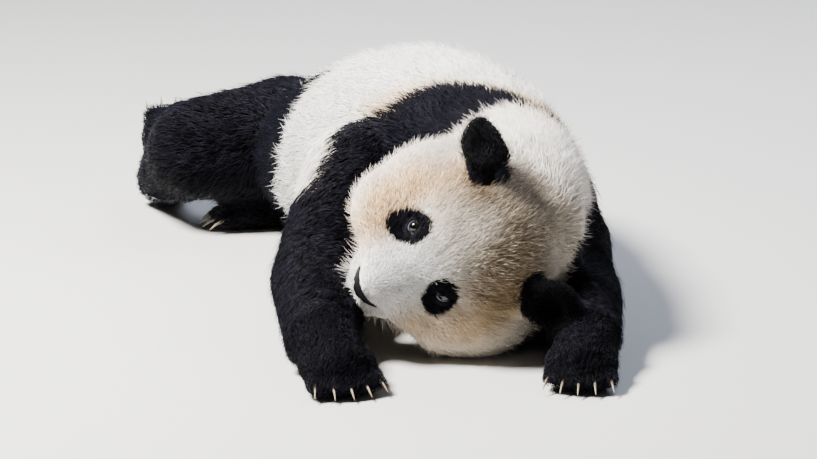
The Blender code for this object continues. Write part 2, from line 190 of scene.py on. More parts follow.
aim = between_eyes + AIM_FROM_EYES
camera_data = bpy.data.cameras.new("camera")
camera_data.lens = LENS_MM
camera_data.sensor_width = SENSOR_MM
camera_data.clip_end = SIGHT
camera = new_object("camera", camera_data)
view_back = direction(CAMERA_TURN, CAMERA_RISE)
aim_along(camera, aim + view_back * (FRAME_WIDTH * LENS_MM / SENSOR_MM), -view_back)
bpy.context.scene.camera = camera

# painted plaster: matt, with a faint cloudy unevenness
floor_finish, shader = new_material("matt_studio_paint", Roughness=0.9)
feed(shader, Base_Color=mixed(floor_finish, clouds(floor_finish, CLOUDS_IN_METRE, 3.0), *FLOOR_TONES))
bm = bmesh.new()
bmesh.ops.create_grid(bm, x_segments=2, y_segments=2, size=FLOOR_SIZE / 2)
mesh = finished(bm, "floor")
mesh.materials.append(floor_finish)
floor = new_object("floor", mesh)

for name, turn, rise, distance, width, power, colour in LIGHTS:
    light_data = bpy.data.lights.new(name, "AREA")
    light_data.shape = "DISK"
    light_data.size = width
    light_data.energy = power
    light_data.color = linear(colour)[:3]
    light = new_object(name, light_data)
    away = direction(math.radians(turn), math.radians(rise))
    aim_along(light, LIT_PLACE + away * distance, -away)

world = bpy.data.worlds.new("studio")
world.use_nodes = True
room = world.node_tree.nodes["Background"]
room.inputs["Color"].default_value = linear(ROOM_COLOUR)
room.inputs["Strength"].default_value = ROOM_STRENGTH
bpy.context.scene.world = world

# ---------------------------------------------------------------- skin
# One hide covers head, trunk and legs without a seam. It lies under the tips of the coat by
# the coat's depth: a few millimetres on the muzzle and the paws, some centimetres on the back.
# It is drawn over all the flesh together, smoothed, and then sunk in.
SKIN_VOXEL = 0.0064
SEAM_SWELL = 0.0007         # closes the hair-thin cuts between the solids
WELD = 1e-5                 # corners nearer than this are one
HEAD_KINDS = ("head", "jaw")
COAT_DEPTH = {
    "head": 0.0125, "jaw": 0.0065, "ear": 0.0050, "neck": 0.0190, "shoulders": 0.0190,
    "trunk": 0.0190, "rump": 0.0190, "tail": 0.0120, "upper_arm": 0.0170, "forearm": 0.0140,
    "forepaw": 0.0065, "thigh": 0.0170, "shank": 0.0130, "hind_foot": 0.0065,
}
MUZZLE_DEPTH = 0.0050       # coat's depth round nose and eyes
MUZZLE_MIDDLE = (0, -0.055, -0.035)
FACE_REACH = (0.045, 0.130)     # from the muzzle's middle, where the short coat ends
EAR_RIM_EXTRA = 0.0100      # the front rims of the ears lie deeper
DEPTH_BLEND = 12            # rounds of softening where one depth passes into the next
HOLLOW_FLOOR = 0.01         # within this of its middle, a hollow is at its deepest
HOLLOWS = (
    # where the hide lies further in: middle, reach and shift
    ((0.211, -0.400, 0.250), 0.080, (-0.009, 0.004, 0.0)),      # left side of the neck
    ((0.205, -0.437, 0.195), 0.120, (-0.024, 0.011, 0.0)),
    ((0.207, -0.436, 0.140), 0.100, (-0.012, 0.005, 0.0)),
    ((0.310, -0.160, 0.235), 0.085, (-0.010, 0.004, -0.004)),   # left shoulder
    ((0.290, -0.270, 0.180), 0.080, (-0.008, 0.004, 0.0)),
    ((0.272, -0.385, 0.115), 0.090, (-0.015, 0.007, 0.0)),      # left elbow
)
EAR_HOLLOWS = (
    # the same for the right ear, in the head's frame: its upper corner and its front rim
    ((-0.160, 0.144, 0.129), 0.042, (0.0070, -0.0098, -0.0082)),
    ((-0.130, 0.139, 0.135), 0.036, (-0.0018, -0.0065, -0.0085)),
    ((-0.158, 0.098, 0.072), 0.036, (0.0040, 0.0030, 0.0060)),
    ((-0.130, 0.102, 0.050), 0.034, (0.0042, 0.0080, 0.0046)),
    ((-0.122, 0.094, 0.058), 0.030, (0.0036, 0.0066, 0.0038)),
    ((-0.172, 0.132, 0.110), 0.030, (-0.0026, -0.0056, -0.0033)),
    ((-0.106, 0.130, 0.114), 0.034, (0.0034, 0.0068, 0.0040)),
)
EYE_SHIFT = (0.0045, 0.0015, 0.0055)    # of the eyeball in its solid: inwards, back and up
SOCKET_RADIUS = 0.0155
EASE_ROUNDS = (5, 3)        # of smoothing, before the hide is sunk in and after


def kind_of(node):
    for ending in ("_left", "_right"):
        node = node.removesuffix(ending)
    return node


def apply_modifiers(obj):
    """Replaces the object's mesh by its evaluated one."""
    bpy.context.view_layer.update()
    graph = bpy.context.evaluated_depsgraph_get()
    evaluated = bpy.data.meshes.new_from_object(obj.evaluated_get(graph))
    obj.modifiers.clear()
    obj.data = evaluated


def eased(obj, rounds):
    """Applies the object's modifiers and some rounds of smoothing."""
    ease = obj.modifiers.new("ease", "SMOOTH")
    ease.factor = 0.5
    ease.iterations = rounds
    apply_modifiers(obj)


def rows(collection, name):
    """A vector of each member, as one row."""
    found = np.empty(len(collection) * 3, np.float32)
    collection.foreach_get(name, found)
    return found.reshape(-1, 3).astype(float)


def coordinates(mesh):
    return rows(mesh.vertices, "co")


def vertex_normals(mesh):
    return rows(mesh.vertex_normals, "vector")


def move_to(mesh, points):
    mesh.vertices.foreach_set("co", points.astype(np.float32).ravel())
    mesh.update()


def soften(values, ends, rounds):
    """Spreads values given at vertices along the edges."""
    values = np.array(values, float)
    near = np.bincount(ends.ravel(), minlength=len(values)).astype(float)
    near = near if values.ndim == 1 else near[:, None]
    for _ in range(rounds):
        total = np.zeros_like(values)
        np.add.at(total, ends[:, 0], values[ends[:, 1]])
        np.add.at(total, ends[:, 1], values[ends[:, 0]])
        values = 0.5 * values + 0.5 * total / np.maximum(near, 1)
    return values


def unit_rows(vectors):
    return vectors / np.maximum(np.linalg.norm(vectors, axis=1), 1e-9)[:, None]


def edge_ends(mesh):
    found = np.empty(len(mesh.edges) * 2, np.int32)
    mesh.edges.foreach_get("vertices", found)
    return found.reshape(-1, 2)


def step(low, high, values):
    """0 below low, 1 above high, and a smooth rise between them."""
    share = np.clip((values - low) / (high - low), 0, 1)
    return share * share * (3 - 2 * share)


def eye_middle(side):
    """Middle of an eyeball, between its lids."""
    node = "eye_left" if side > 0 else "eye_right"
    inwards, back, up = EYE_SHIFT
    return middle(node) + head_turn @ Vector((-side * inwards, back, up))


def close_to(points, place, reach):
    """Which points are nearer to a place than the reach."""
    return np.linalg.norm(points - np.array(place), axis=1) < reach


flesh_nodes = sorted(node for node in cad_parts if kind_of(node) in COAT_DEPTH)
sockets = ["eye_left", "eye_right", "nose"]
bm = bmesh.new()
for node in flesh_nodes + sockets:
    bm.from_mesh(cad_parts[node].data)
bmesh.ops.remove_doubles(bm, verts=bm.verts, dist=WELD)
bm.normal_update()
for vert in bm.verts:
    vert.co += vert.normal * SEAM_SWELL
for side in (1, -1):
    place = Matrix.Translation(eye_middle(side))
    bmesh.ops.create_icosphere(bm, subdivisions=3, radius=SOCKET_RADIUS, matrix=place)
skin = new_object("skin", finished(bm, "skin"))
remesh = skin.modifiers.new("hide", "REMESH")
remesh.mode = "VOXEL"
remesh.voxel_size = SKIN_VOXEL
eased(skin, EASE_ROUNDS[0])

flesh_corners, flesh_faces, face_nodes = [], [], []
for node in flesh_nodes:
    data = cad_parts[node].data
    start = len(flesh_corners)
    flesh_corners += [vert.co.copy() for vert in data.vertices]
    for face in data.polygons:
        flesh_faces.append([start + index for index in face.vertices])
        face_nodes.append(node)
flesh_tree = BVHTree.FromPolygons(flesh_corners, flesh_faces)


def nearest_nodes(points):
    return np.array([face_nodes[flesh_tree.find_nearest(point)[2]] for point in points])


def kinds_of(nodes):
    return np.array([kind_of(node) for node in nodes])


points = coordinates(skin.data)
kinds = kinds_of(nearest_nodes(points))
depth = np.array([COAT_DEPTH[kind] for kind in kinds])
nose_place = in_head([middle("nose")])[0]


def muzzle_share(local):
    """1 on the muzzle and round the eyes, 0 where the long coat of the head begins."""
    from_muzzle = np.linalg.norm((local - np.array(MUZZLE_MIDDLE)) * (1, 0.9, 1), axis=1)
    return 1 - step(*FACE_REACH, from_muzzle)


local = in_head(points)
face = muzzle_share(local) * np.isin(kinds, HEAD_KINDS)
depth = depth * (1 - face) + MUZZLE_DEPTH * face
ends = edge_ends(skin.data)
ahead = vertex_normals(skin.data) @ np.array(head_turn @ Vector((0, -1, 0)))
depth += (kinds == "ear") * EAR_RIM_EXTRA * step(0.0, 0.8, ahead)
depth = soften(depth, ends, DEPTH_BLEND)
normals = unit_rows(soften(vertex_normals(skin.data), ends, 2))
sunk = points - normals * depth[:, None]
for hollows, measured, turn in ((HOLLOWS, points, np.eye(3)), (EAR_HOLLOWS, local, HEAD_AXES)):
    for place, reach, shift in hollows:
        away = np.linalg.norm(measured - np.array(place), axis=1)
        sunk += (1 - step(HOLLOW_FLOOR, reach, away))[:, None] * (turn @ np.array(shift))
move_to(skin.data, sunk)
eased(skin, EASE_ROUNDS[1])

# ---------------------------------------------------------------- face
# The hide of the face is worked finer: two lids hug each eyeball and leave an almond gap, a
# shallow crease runs round each lid, a groove parts the lips, and another joins them to the nose.
EYE_RADIUS = 0.0130
EYE_OUT = (0.25, -0.76, 0.60)   # the way the left eye's lids face
LID_THICK = 0.0013
LID_RISE = 0.0016           # of the hide round the eyeball
LID_REACH = 0.0215          # from the eyeball's middle
LID_SLANT = math.radians(40)    # the outer corner lies higher
LID_LIP = 0.0007            # width of the raised rim, and how far it stands out
LID_LIP_RISE = 0.0005
CREASE_WIDTH = 0.0013       # of the fold round each lid
CREASE_DEPTH = 0.0012
GAP_HALF_LENGTH = 0.0120    # of the almond between the lids
GAP_HALF_HEIGHT = {1: 0.0048, -1: 0.0084}   # the left eye, underneath, is half closed
GAP_POINTEDNESS = 1.9
GAP_FLOOR = 0.0030          # how far the hide lies inside the eyeball, behind the gap
TEAR_WIDTH = 0.0004         # of the wet rim, painted pale partly as painted reflection, and how much wider it gets at the inner corner
TEAR_WIDENING = 0.0007
MOUTH_FRONT = np.array((0, -0.103, -0.095))
MOUTH_SLOPE = math.radians(20)
MOUTH_HALF_WIDTH = 0.047
MOUTH_CORNER = (-0.008, 0.006)      # from the half width, where it fades out
MOUTH_BACK = (-0.030, -0.010)   # where it fades out along the cheek
MOUTH_DEPTH = 0.0042
MOUTH_HALF_HEIGHT = 0.0022
LIP_MIDDLE = 0.0065         # of the swollen lip, over and under the groove
LIP_WIDTH = 0.004
LIP_RISE = 0.0012
PHILTRUM_DEPTH = 0.0016     # groove from the nose down to the lips
PHILTRUM_WIDTH = 0.0016
PHILTRUM_TOP = (-0.068, -0.060)
FACE_MIDDLE = (0, -0.060, -0.045)
MUZZLE_REACH = 0.10         # of nose and mouth from the middle of the face
FINE_REACH = (
    # of each refining of the hide, from the middle of the face and from each eye
    (0.088, 0.0), (0.0, 0.030), (0.0, 0.018), (0.0, 0.0155),
)
FINE_LIPS_REACH = 0.085     # from the middle of the face
FINE_LIPS = 0.009           # over and under the groove
FINE_NOSE = 0.040
EASE_REACH = 0.08           # the refined hide is smoothed at least this far
FAR = 9.0                   # a number well outside of any edge


def eye_frame(side):
    """Middle of the eyeball, and its axes: along the lids, out of the face, across the lids."""
    aside, back, up = EYE_OUT
    out = (head_turn @ Vector((side * aside, back, up))).normalized()
    along = head_turn @ Vector((side * math.cos(LID_SLANT), 0, math.sin(LID_SLANT)))
    along = (along - out * along.dot(out)).normalized()
    across = along.cross(out) * -side
    return tuple(np.array(found) for found in (eye_middle(side), along, out, across))


def mouth_height(local):
    """Height over the line where the lips meet, and how far in the mouth a point is, 0 to 1."""
    fall = np.tan(MOUTH_SLOPE) * (local[:, 1] - MOUTH_FRONT[1])
    height = (local[:, 2] - MOUTH_FRONT[2] + fall) * np.cos(MOUTH_SLOPE)
    corner_start, corner_end = (MOUTH_HALF_WIDTH + fade for fade in MOUTH_CORNER)
    inside = 1 - step(corner_start, corner_end, np.abs(local[:, 0]))
    return height, inside * (1 - step(*MOUTH_BACK, local[:, 1]))


bm = bmesh.new()
bm.from_mesh(skin.data)
eye_places = [Vector(eye_frame(side)[0]) for side in (1, -1)]
face_middle = from_head(FACE_MIDDLE)
for refining, (face_reach, eye_reach) in enumerate(FINE_REACH):
    near = set()
    for vert in bm.verts:
        away = (vert.co - face_middle).length
        close = away < face_reach or any((vert.co - eye).length < eye_reach for eye in eye_places)
        if not close and refining == 1 and away < FINE_LIPS_REACH:
            local = in_head([vert.co])
            height, inside = mouth_height(local)
            lips = abs(height[0]) < FINE_LIPS and inside[0] > 0.05
            close = lips or np.linalg.norm(local[0] - nose_place) < FINE_NOSE
        if close:
            near.add(vert)
    edges = [edge for edge in bm.edges if edge.verts[0] in near and edge.verts[1] in near]
    bmesh.ops.subdivide_edges(bm, edges=edges, cuts=1, use_grid_fill=True)
    ease_reach = max(face_reach, EASE_REACH)
    fine = [vert for vert in bm.verts if (vert.co - face_middle).length < ease_reach]
    for _ in range(3):
        bmesh.ops.smooth_vert(bm, verts=fine, factor=0.5,
                              use_axis_x=True, use_axis_y=True, use_axis_z=True)
bmesh.ops.triangulate(bm, faces=[face for face in bm.faces if len(face.verts) > 4])
bm.to_mesh(skin.data)
bm.free()

points = coordinates(skin.data)
normals = vertex_normals(skin.data)
local = in_head(points)
height, inside = mouth_height(local)
on_muzzle = close_to(points, face_middle, MUZZLE_REACH)
groove = np.exp(-(height / MOUTH_HALF_HEIGHT) ** 2) * inside * on_muzzle
swelling = np.exp(-((np.abs(height) - LIP_MIDDLE) / LIP_WIDTH) ** 2) * inside * on_muzzle
philtrum = np.exp(-(local[:, 0] / PHILTRUM_WIDTH) ** 2) * (local[:, 1] < -0.075)
philtrum *= step(MOUTH_FRONT[2] - 0.004, MOUTH_FRONT[2] + 0.004, local[:, 2])
philtrum *= 1 - step(*PHILTRUM_TOP, local[:, 2])
sink = groove * MOUTH_DEPTH - swelling * LIP_RISE + philtrum * PHILTRUM_DEPTH
points -= normals * sink[:, None]
lid_rim = np.full(len(points), FAR)     # metres from the lids' rim, less than 0 in the gap
wet_rim_and_glint = np.zeros(len(points))       # 1 on the wet rim of the lower lid, whose pale bluish colour is partly painted reflection
for side in (1, -1):
    centre, along, out, across = eye_frame(side)
    from_eye = points - centre
    u, w, v = from_eye @ along, from_eye @ out, from_eye @ across
    aside = np.hypot(u, v)
    beside = (aside < LID_REACH * 1.4) & (w > -0.004)
    ball_front = np.sqrt(np.maximum((EYE_RADIUS + LID_THICK) ** 2 - aside**2, 0))
    skirt = 1 - step(EYE_RADIUS * 0.98, LID_REACH, aside)
    over_ball = aside < EYE_RADIUS * 1.02
    lid = np.where(aside < EYE_RADIUS * 0.85, ball_front, np.maximum(w, ball_front))
    crease = np.exp(-((aside - EYE_RADIUS * 1.10) / CREASE_WIDTH) ** 2) * CREASE_DEPTH * (v > -0.004)
    target = np.where(over_ball, lid, w + skirt * LID_RISE) - crease
    along_gap = np.clip(np.abs(u) / GAP_HALF_LENGTH, 0, 1)
    gap_height = GAP_HALF_HEIGHT[side] * (1 - along_gap**GAP_POINTEDNESS)
    past_corner = np.hypot(np.abs(u) - GAP_HALF_LENGTH, v)
    rim = np.where(np.abs(u) < GAP_HALF_LENGTH, np.abs(v) - gap_height, past_corner)
    behind = np.sqrt(np.maximum((EYE_RADIUS - GAP_FLOOR) ** 2 - aside**2, 0))
    drop = 1 - step(-0.0014, 0.0, rim)
    target = target * (1 - drop) + behind * drop
    lip = np.exp(-((rim - LID_LIP) / LID_LIP) ** 2) * LID_LIP_RISE
    points = np.where(beside[:, None], points + ((target + lip - w) * beside)[:, None] * out, points)
    lid_rim = np.where(beside, np.minimum(lid_rim, rim), lid_rim)
    inner = step(-0.2, 1.0, -u / GAP_HALF_LENGTH)       # 1 at the inner corner
    wet_and_glint = np.exp(-((rim - 0.0002) / (TEAR_WIDTH + TEAR_WIDENING * inner)) ** 2)
    wet_and_glint *= np.maximum(1 - step(-0.0040, 0.0005, v), 0.8 * inner * (v < 0.004))
    wet_rim_and_glint = np.where(beside, np.maximum(wet_rim_and_glint, wet_and_glint), wet_rim_and_glint)
move_to(skin.data, points)
skin.data.shade_smooth()

# ---------------------------------------------------------------- markings
# Skin and coat carry the same markings: black ears, eye patches, legs and a band over the
# shoulders, on cream. The muzzle is the whitest place, the sides of the head are tan, and
# brown-tipped hairs cross the crown between the ears. That brown is made darker and carried
# down the left temple as painted shade.
EDGE_BLUR = 0.016           # width over which black passes into white
WANDER_WAVES = 38.0         # of the edges between black and white, in a metre
WANDER = 1.04               # how far they stray, over the blur
BAND_FRONT = (
    # X and Y along the front edge of the band, and then along its rear one
    (-0.30, -0.46), (-0.05, -0.36), (0.03, -0.300), (0.09, -0.273), (0.14, -0.264),
    (0.19, -0.266), (0.24, -0.250), (0.27, -0.245), (0.30, -0.28), (0.33, -0.32),
)
BAND_REAR = (
    (-0.30, -0.050), (-0.14, -0.072), (-0.02, -0.082), (0.03, -0.100), (0.07, -0.108),
    (0.10, -0.142), (0.14, -0.200), (0.185, -0.229), (0.20, -0.228), (0.24, -0.205),
    (0.27, -0.185), (0.30, -0.12), (0.33, -0.06),
)
RUMP_EDGE = (
    # Z and Y along the edge of the black on the right flank
    (0.05, 0.290), (0.11, 0.258), (0.165, 0.202), (0.22, 0.194), (0.27, 0.205),
    (0.29, 0.212), (0.31, 0.205), (0.33, 0.187), (0.36, 0.168),
)
RUMP_SIDE = (
    # Y and X along the same black's edge on top
    (0.15, -0.010), (0.20, 0.014), (0.26, 0.048), (0.32, 0.045), (0.42, -0.020), (0.55, -0.050),
)
ARM_REAR = (
    # Z and Y, where the right upper arm turns white
    (0.10, 0.300), (0.16, 0.000), (0.19, -0.110), (0.216, -0.134), (0.237, -0.122),
    (0.262, -0.098), (0.286, -0.066), (0.32, -0.035),
)
CHEST_WAY = (0.906, -0.423)     # to the left and front
CHEST_EDGE = (
    # the lower neck is black from here on: Z, and how far out that way
    (0.10, 0.270), (0.12, 0.284), (0.14, 0.290), (0.16, 0.298), (0.175, 0.311),
    (0.20, 0.344), (0.24, 0.440),
)
EAR_FEET = (
    # black round the ears' roots, in the head's frame: middle and reach
    ((0.100, 0.125, 0.085), (0.020, 0.036, 0.028)),
    ((-0.094, 0.131, 0.080), (0.026, 0.046, 0.036)),
)
PATCHES = {
    # side: middle of the eye patch in the head's frame, and half its length, width and depth
    1: ((0.0590, -0.0125, 0.0120), (0.0410, 0.0275, 0.045)),
    -1: ((-0.0655, -0.0140, 0.0105), (0.0465, 0.0295, 0.045)),
}
PATCH_LONG_WAY = (-0.44, 0.30, 0.84)    # of the left one
PATCH_OUT_WAY = (0.37, -0.80, 0.47)
PATCH_BLUR = 0.12           # of a patch's half size, and of the black round an ear's root
FOOT_BLUR = 0.25
TAN_LINE = (
    # from the left cheek up past the eye to the ear, and mirrored on the right
    (0.088, -0.046, -0.048), (0.116, -0.012, -0.012), (0.130, 0.026, 0.022),
    (0.118, 0.068, 0.066), (0.110, 0.088, 0.078),
)
TAN_REACH = 0.040
TAN_SHARE = {1: 0.70, -1: 1.00}     # of the left and of the right side
TAN_ALL_OVER = 0.30         # on the head, and on the neck
TAN_NECK = 0.18
TAN_UNDER_BROWN = 0.32
TAN_WAVES = 22.0            # in a metre
STAIN = 0.60                # of the white along the rear edge of the band
STAIN_REACH = 0.035
BLOTCHES = 0.25             # of the faint stains on the body, and their waves in a metre
BLOTCH_WAVES = 6.0
BROWN_AND_SHADE_LINE = (
    # across the crown from the right ear, and down to the left temple: brown-tipped fur, deepened by
    # painted shade on the side turned from the light
    (-0.080, 0.112, 0.092), (-0.040, 0.146, 0.102), (0.009, 0.140, 0.106),
    (0.043, 0.119, 0.103), (0.064, 0.086, 0.091), (0.088, 0.062, 0.074),
)
BROWN_AND_SHADE_REACH = 0.053
BROWN_AND_SHADE_WAVES = 30.0
WHITE_LINE = ((0.0, -0.085, -0.060), (0.0, -0.060, -0.030), (0.0, -0.015, 0.000))
WHITE_REACH = 0.047
FORELEG = ("upper_arm", "forearm", "forepaw")
HIND_LEG = ("thigh", "shank", "hind_foot")


def broken_line(place, marks):
    """Height of a line through a few marks."""
    return np.interp(place, [mark[0] for mark in marks], [mark[1] for mark in marks])


def near_line(local, marks, reach):
    """1 on a line through a few points, and fading out around it."""
    marks = np.array(marks)
    least = np.full(len(local), FAR)
    for start, end in zip(marks, marks[1:]):
        along = end - start
        share = np.clip((local - start) @ along / (along @ along), 0, 1)
        least = np.minimum(least, np.linalg.norm(local - start - share[:, None] * along, axis=1))
    return np.exp(-(least / reach) ** 2)


def waves(points, scale, seed):
    """Smooth noise, about -1 to 1."""
    shift = Vector((seed, 0, seed))
    return np.array([noise.noise(Vector(point) * scale + shift) for point in points])


def only_on(chosen, values):
    """The values where chosen, and far outside elsewhere."""
    return np.where(chosen, values, -FAR)


def eye_patches(local):
    """More than 0 in the black round each eye, and less outside it."""
    found = np.full(len(local), -FAR)
    for side, (place, half_sizes) in PATCHES.items():
        mirror = np.array((side, 1, 1))
        long_way = np.array(PATCH_LONG_WAY) * mirror
        out_way = np.array(PATCH_OUT_WAY) * mirror
        long_way /= np.linalg.norm(long_way)
        out_way -= long_way * (out_way @ long_way)
        out_way /= np.linalg.norm(out_way)
        axes = np.array((long_way, np.cross(out_way, long_way), out_way))
        share = (local - np.array(place)) @ axes.T / np.array(half_sizes)
        found = np.maximum(found, 1 - np.linalg.norm(share, axis=1))
    return found


def markings(points, kinds):
    """How black, tan, brown (partly painted shade) and white the coat is at each point, from 0 to 1.
    """
    local = in_head(points)
    x, y, z = points.T
    near_head = 1 - step(0.20, 0.30, np.linalg.norm(local - (0, 0.05, 0), axis=1))
    head = np.isin(kinds, HEAD_KINDS)
    neck = kinds == "neck"
    torso = np.isin(kinds, ["neck", "shoulders", "trunk"])
    behind_front = (y - broken_line(x, BAND_FRONT)) / EDGE_BLUR
    before_rear = (broken_line(x, BAND_REAR) - y) / EDGE_BLUR
    band = only_on(torso, np.minimum(behind_front, before_rear))
    past_edge = (y - broken_line(z, RUMP_EDGE)) / EDGE_BLUR
    beside = (broken_line(y, RUMP_SIDE) - x) / (EDGE_BLUR * 2)
    rump = only_on(np.isin(kinds, ["trunk", "rump"]), np.minimum(past_edge, beside))
    patches = only_on(head, eye_patches(local) / PATCH_BLUR)
    limbs = np.where(np.isin(kinds, FORELEG + HIND_LEG + ("ear",)), FAR, -FAR)
    behind_arm = (broken_line(z, ARM_REAR) - y) / EDGE_BLUR
    limbs = np.where((kinds == "upper_arm") & (x < 0), behind_arm, limbs)
    for place, reach in EAR_FEET:
        from_ear = (local - np.array(place)) / np.array(reach)
        limbs = np.maximum(limbs, (1 - np.linalg.norm(from_ear, axis=1)) / FOOT_BLUR)
    outwards = CHEST_WAY[0] * x + CHEST_WAY[1] * y
    chest = only_on(neck, (outwards - broken_line(z, CHEST_EDGE)) / EDGE_BLUR)
    darkness = np.clip(np.maximum.reduce([band, rump, patches, limbs, chest]), -3, 3)
    wander = waves(points, WANDER_WAVES, 3.0) + 0.5 * waves(points, WANDER_WAVES * 2.4, 8.0)
    black = darkness + wander * WANDER
    # brown band: brown-tipped fur, partly painted shade where the head turns from the light
    brown_and_shade = near_line(local, BROWN_AND_SHADE_LINE, BROWN_AND_SHADE_REACH) * near_head
    brown_and_shade *= 1 + 0.35 * waves(points, BROWN_AND_SHADE_WAVES, 7.0)
    white = near_line(local, WHITE_LINE, WHITE_REACH) * head
    tan = np.zeros(len(points))
    for side, share in TAN_SHARE.items():
        tan += near_line(local * (side, 1, 1), TAN_LINE, TAN_REACH) * share * head
    tan *= 0.80 + 0.35 * waves(points, TAN_WAVES, 5.0)
    tan += TAN_ALL_OVER * head * near_head + TAN_NECK * neck + TAN_UNDER_BROWN * brown_and_shade
    tan += STAIN * torso * np.exp(-(before_rear * EDGE_BLUR / STAIN_REACH) ** 2)
    tan += BLOTCHES * ~head * step(-0.2, 0.6, waves(points, BLOTCH_WAVES, 11.0))
    return {
        "black": black,
        "tan": np.clip(tan * (1 - white), 0, 1),
        "brown_and_shade": np.clip(brown_and_shade, 0, 1),
        "white": np.clip(white, 0, 1),
    }


def store(mesh, name, values):
    """Keeps one number for each vertex under a name that the material reads."""
    kept = mesh.attributes.new(name, "FLOAT", "POINT")
    kept.data.foreach_set("value", values.astype(np.float32))


points = coordinates(skin.data)
owner = nearest_nodes(points)
kinds = kinds_of(owner)
ends = edge_ends(skin.data)
skin_marks = markings(points, kinds)
skin_marks["black"] = soften(skin_marks["black"], ends, 3)
for name, values in skin_marks.items():
    store(skin.data, name, step(-0.6, 0.6, values) if name == "black" else values)


def pale_coat(material, tip):
    """The pale markings as colour, darker and browner towards the roots of the hairs."""
    tan, brown_and_shade, white = [stored(material, name) for name in ("tan", "brown_and_shade", "white")]
    pale = mixed(material, tan, "#eeedea", "#d3ab74")
    pale = mixed(material, white, pale, "#f6f8fc")
    # the brown band's colour: brown tips and roots, partly painted shade
    pale = mixed(material, brown_and_shade, pale, "#7a664a")
    root = mixed(material, brown_and_shade, "#a5957b", "#2b231b")
    return mixed(material, tip, root, pale)


def black_coat(material, tip):
    """Black at the roots of the hairs, and a little lighter at the tips, with a bluish tint there
    that is partly painted sky reflection.
    """
    return mixed(material, tip, "#040406", "#0f0e15")


# hide: dense underfur over pink-grey skin, seen only between the tufts and bare at the lids
# and lips, where it is black, and wet along the lower lid, with a pale bluish rim there that is
# partly painted reflection
HAIRS_IN_METRE = 700.0      # of the underfur
LIPS_BARE = (0.0018, 0.0036)    # from the line where the lips meet
LIDS_BARE = (0.0009, 0.0022)    # from the lids' rim
skin_finish, shader = new_material("underfur_and_hide", Roughness=0.85, Specular_IOR_Level=0.05)
hairs = clouds(skin_finish, HAIRS_IN_METRE, 4.0)
pale = pale_coat(skin_finish, hairs)
dark = black_coat(skin_finish, hairs)
dark = add_node(skin_finish, "HueSaturation", inputs={"Color": dark, "Value": 0.45})
black, bare, wet_and_glint = [stored(skin_finish, name) for name in ("black", "bare", "wet_and_glint")]
colour = mixed(skin_finish, black, pale, dark)
colour = mixed(skin_finish, bare, colour, "#0d0a0a")
# wet rim of the lower lid: real wet skin, its pale bluish colour partly painted reflection
colour = mixed(skin_finish, wet_and_glint, colour, "#76828f")
rough = ranged(skin_finish, bare, (0, 1), (0.85, 0.45))
rough = add_node(skin_finish, "Math", {"operation": "MULTIPLY_ADD"}, {0: wet_and_glint, 1: -0.2, 2: rough})
grain = add_node(skin_finish, "Bump", inputs={"Height": hairs, "Strength": 0.35, "Distance": 0.001})
feed(shader, Base_Color=colour, Roughness=rough, Normal=grain)
local = in_head(points)
height, inside = mouth_height(local)
on_muzzle = close_to(points, face_middle, MUZZLE_REACH)
lips = (1 - step(*LIPS_BARE, np.abs(height))) * inside * on_muzzle
store(skin.data, "bare", np.maximum(lips, 1 - step(*LIDS_BARE, lid_rim)))
store(skin.data, "wet_and_glint", wet_rim_and_glint)
skin.data.materials.clear()
skin.data.materials.append(skin_finish)
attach(skin, "root")
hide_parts(*flesh_nodes)

# ---------------------------------------------------------------- eyes
# Each eyeball is a wet ball with a clear bulging front, seated between the lids. The iris is
# dark brown and wide round an upright black pupil, and a pinkish haw shows in the inner corner.
CORNEA_ANGLE = math.radians(48)
CORNEA_RISE = 0.0009
IRIS_EDGE = math.radians(43)
PUPIL_EDGE = math.radians(19)
PUPIL_NARROWNESS = 1.7
HAW_EDGE = (0.52, 0.72)     # towards the inner corner, in radii of the eyeball
GAZE_TO_VIEWER = 0.22
FIBRES_IN_METRE = 1600.0    # of the iris

# living eye: a tear film over the cornea gives one sharp highlight
eye_finish, shader = new_material("wet_eyeball", Roughness=0.08, IOR=1.376, Coat_Weight=0.6,
                                  Coat_Roughness=0.02, Specular_IOR_Level=0.35)
gaze, slit, haw = [stored(eye_finish, name) for name in ("gaze", "slit", "haw")]
iris = mixed(eye_finish, clouds(eye_finish, FIBRES_IN_METRE, 3.0), "#070405", "#140b0b")
pupil = ranged(eye_finish, slit, (PUPIL_EDGE * 0.90, PUPIL_EDGE * 1.10), (0, 1))
iris = mixed(eye_finish, pupil, "#020202", iris)
limbus = ranged(eye_finish, gaze, (IRIS_EDGE * 0.93, IRIS_EDGE * 1.07), (0, 1))
white = mixed(eye_finish, haw, "#1d1918", "#8f7c7c")
feed(shader, Base_Color=mixed(eye_finish, limbus, iris, white))

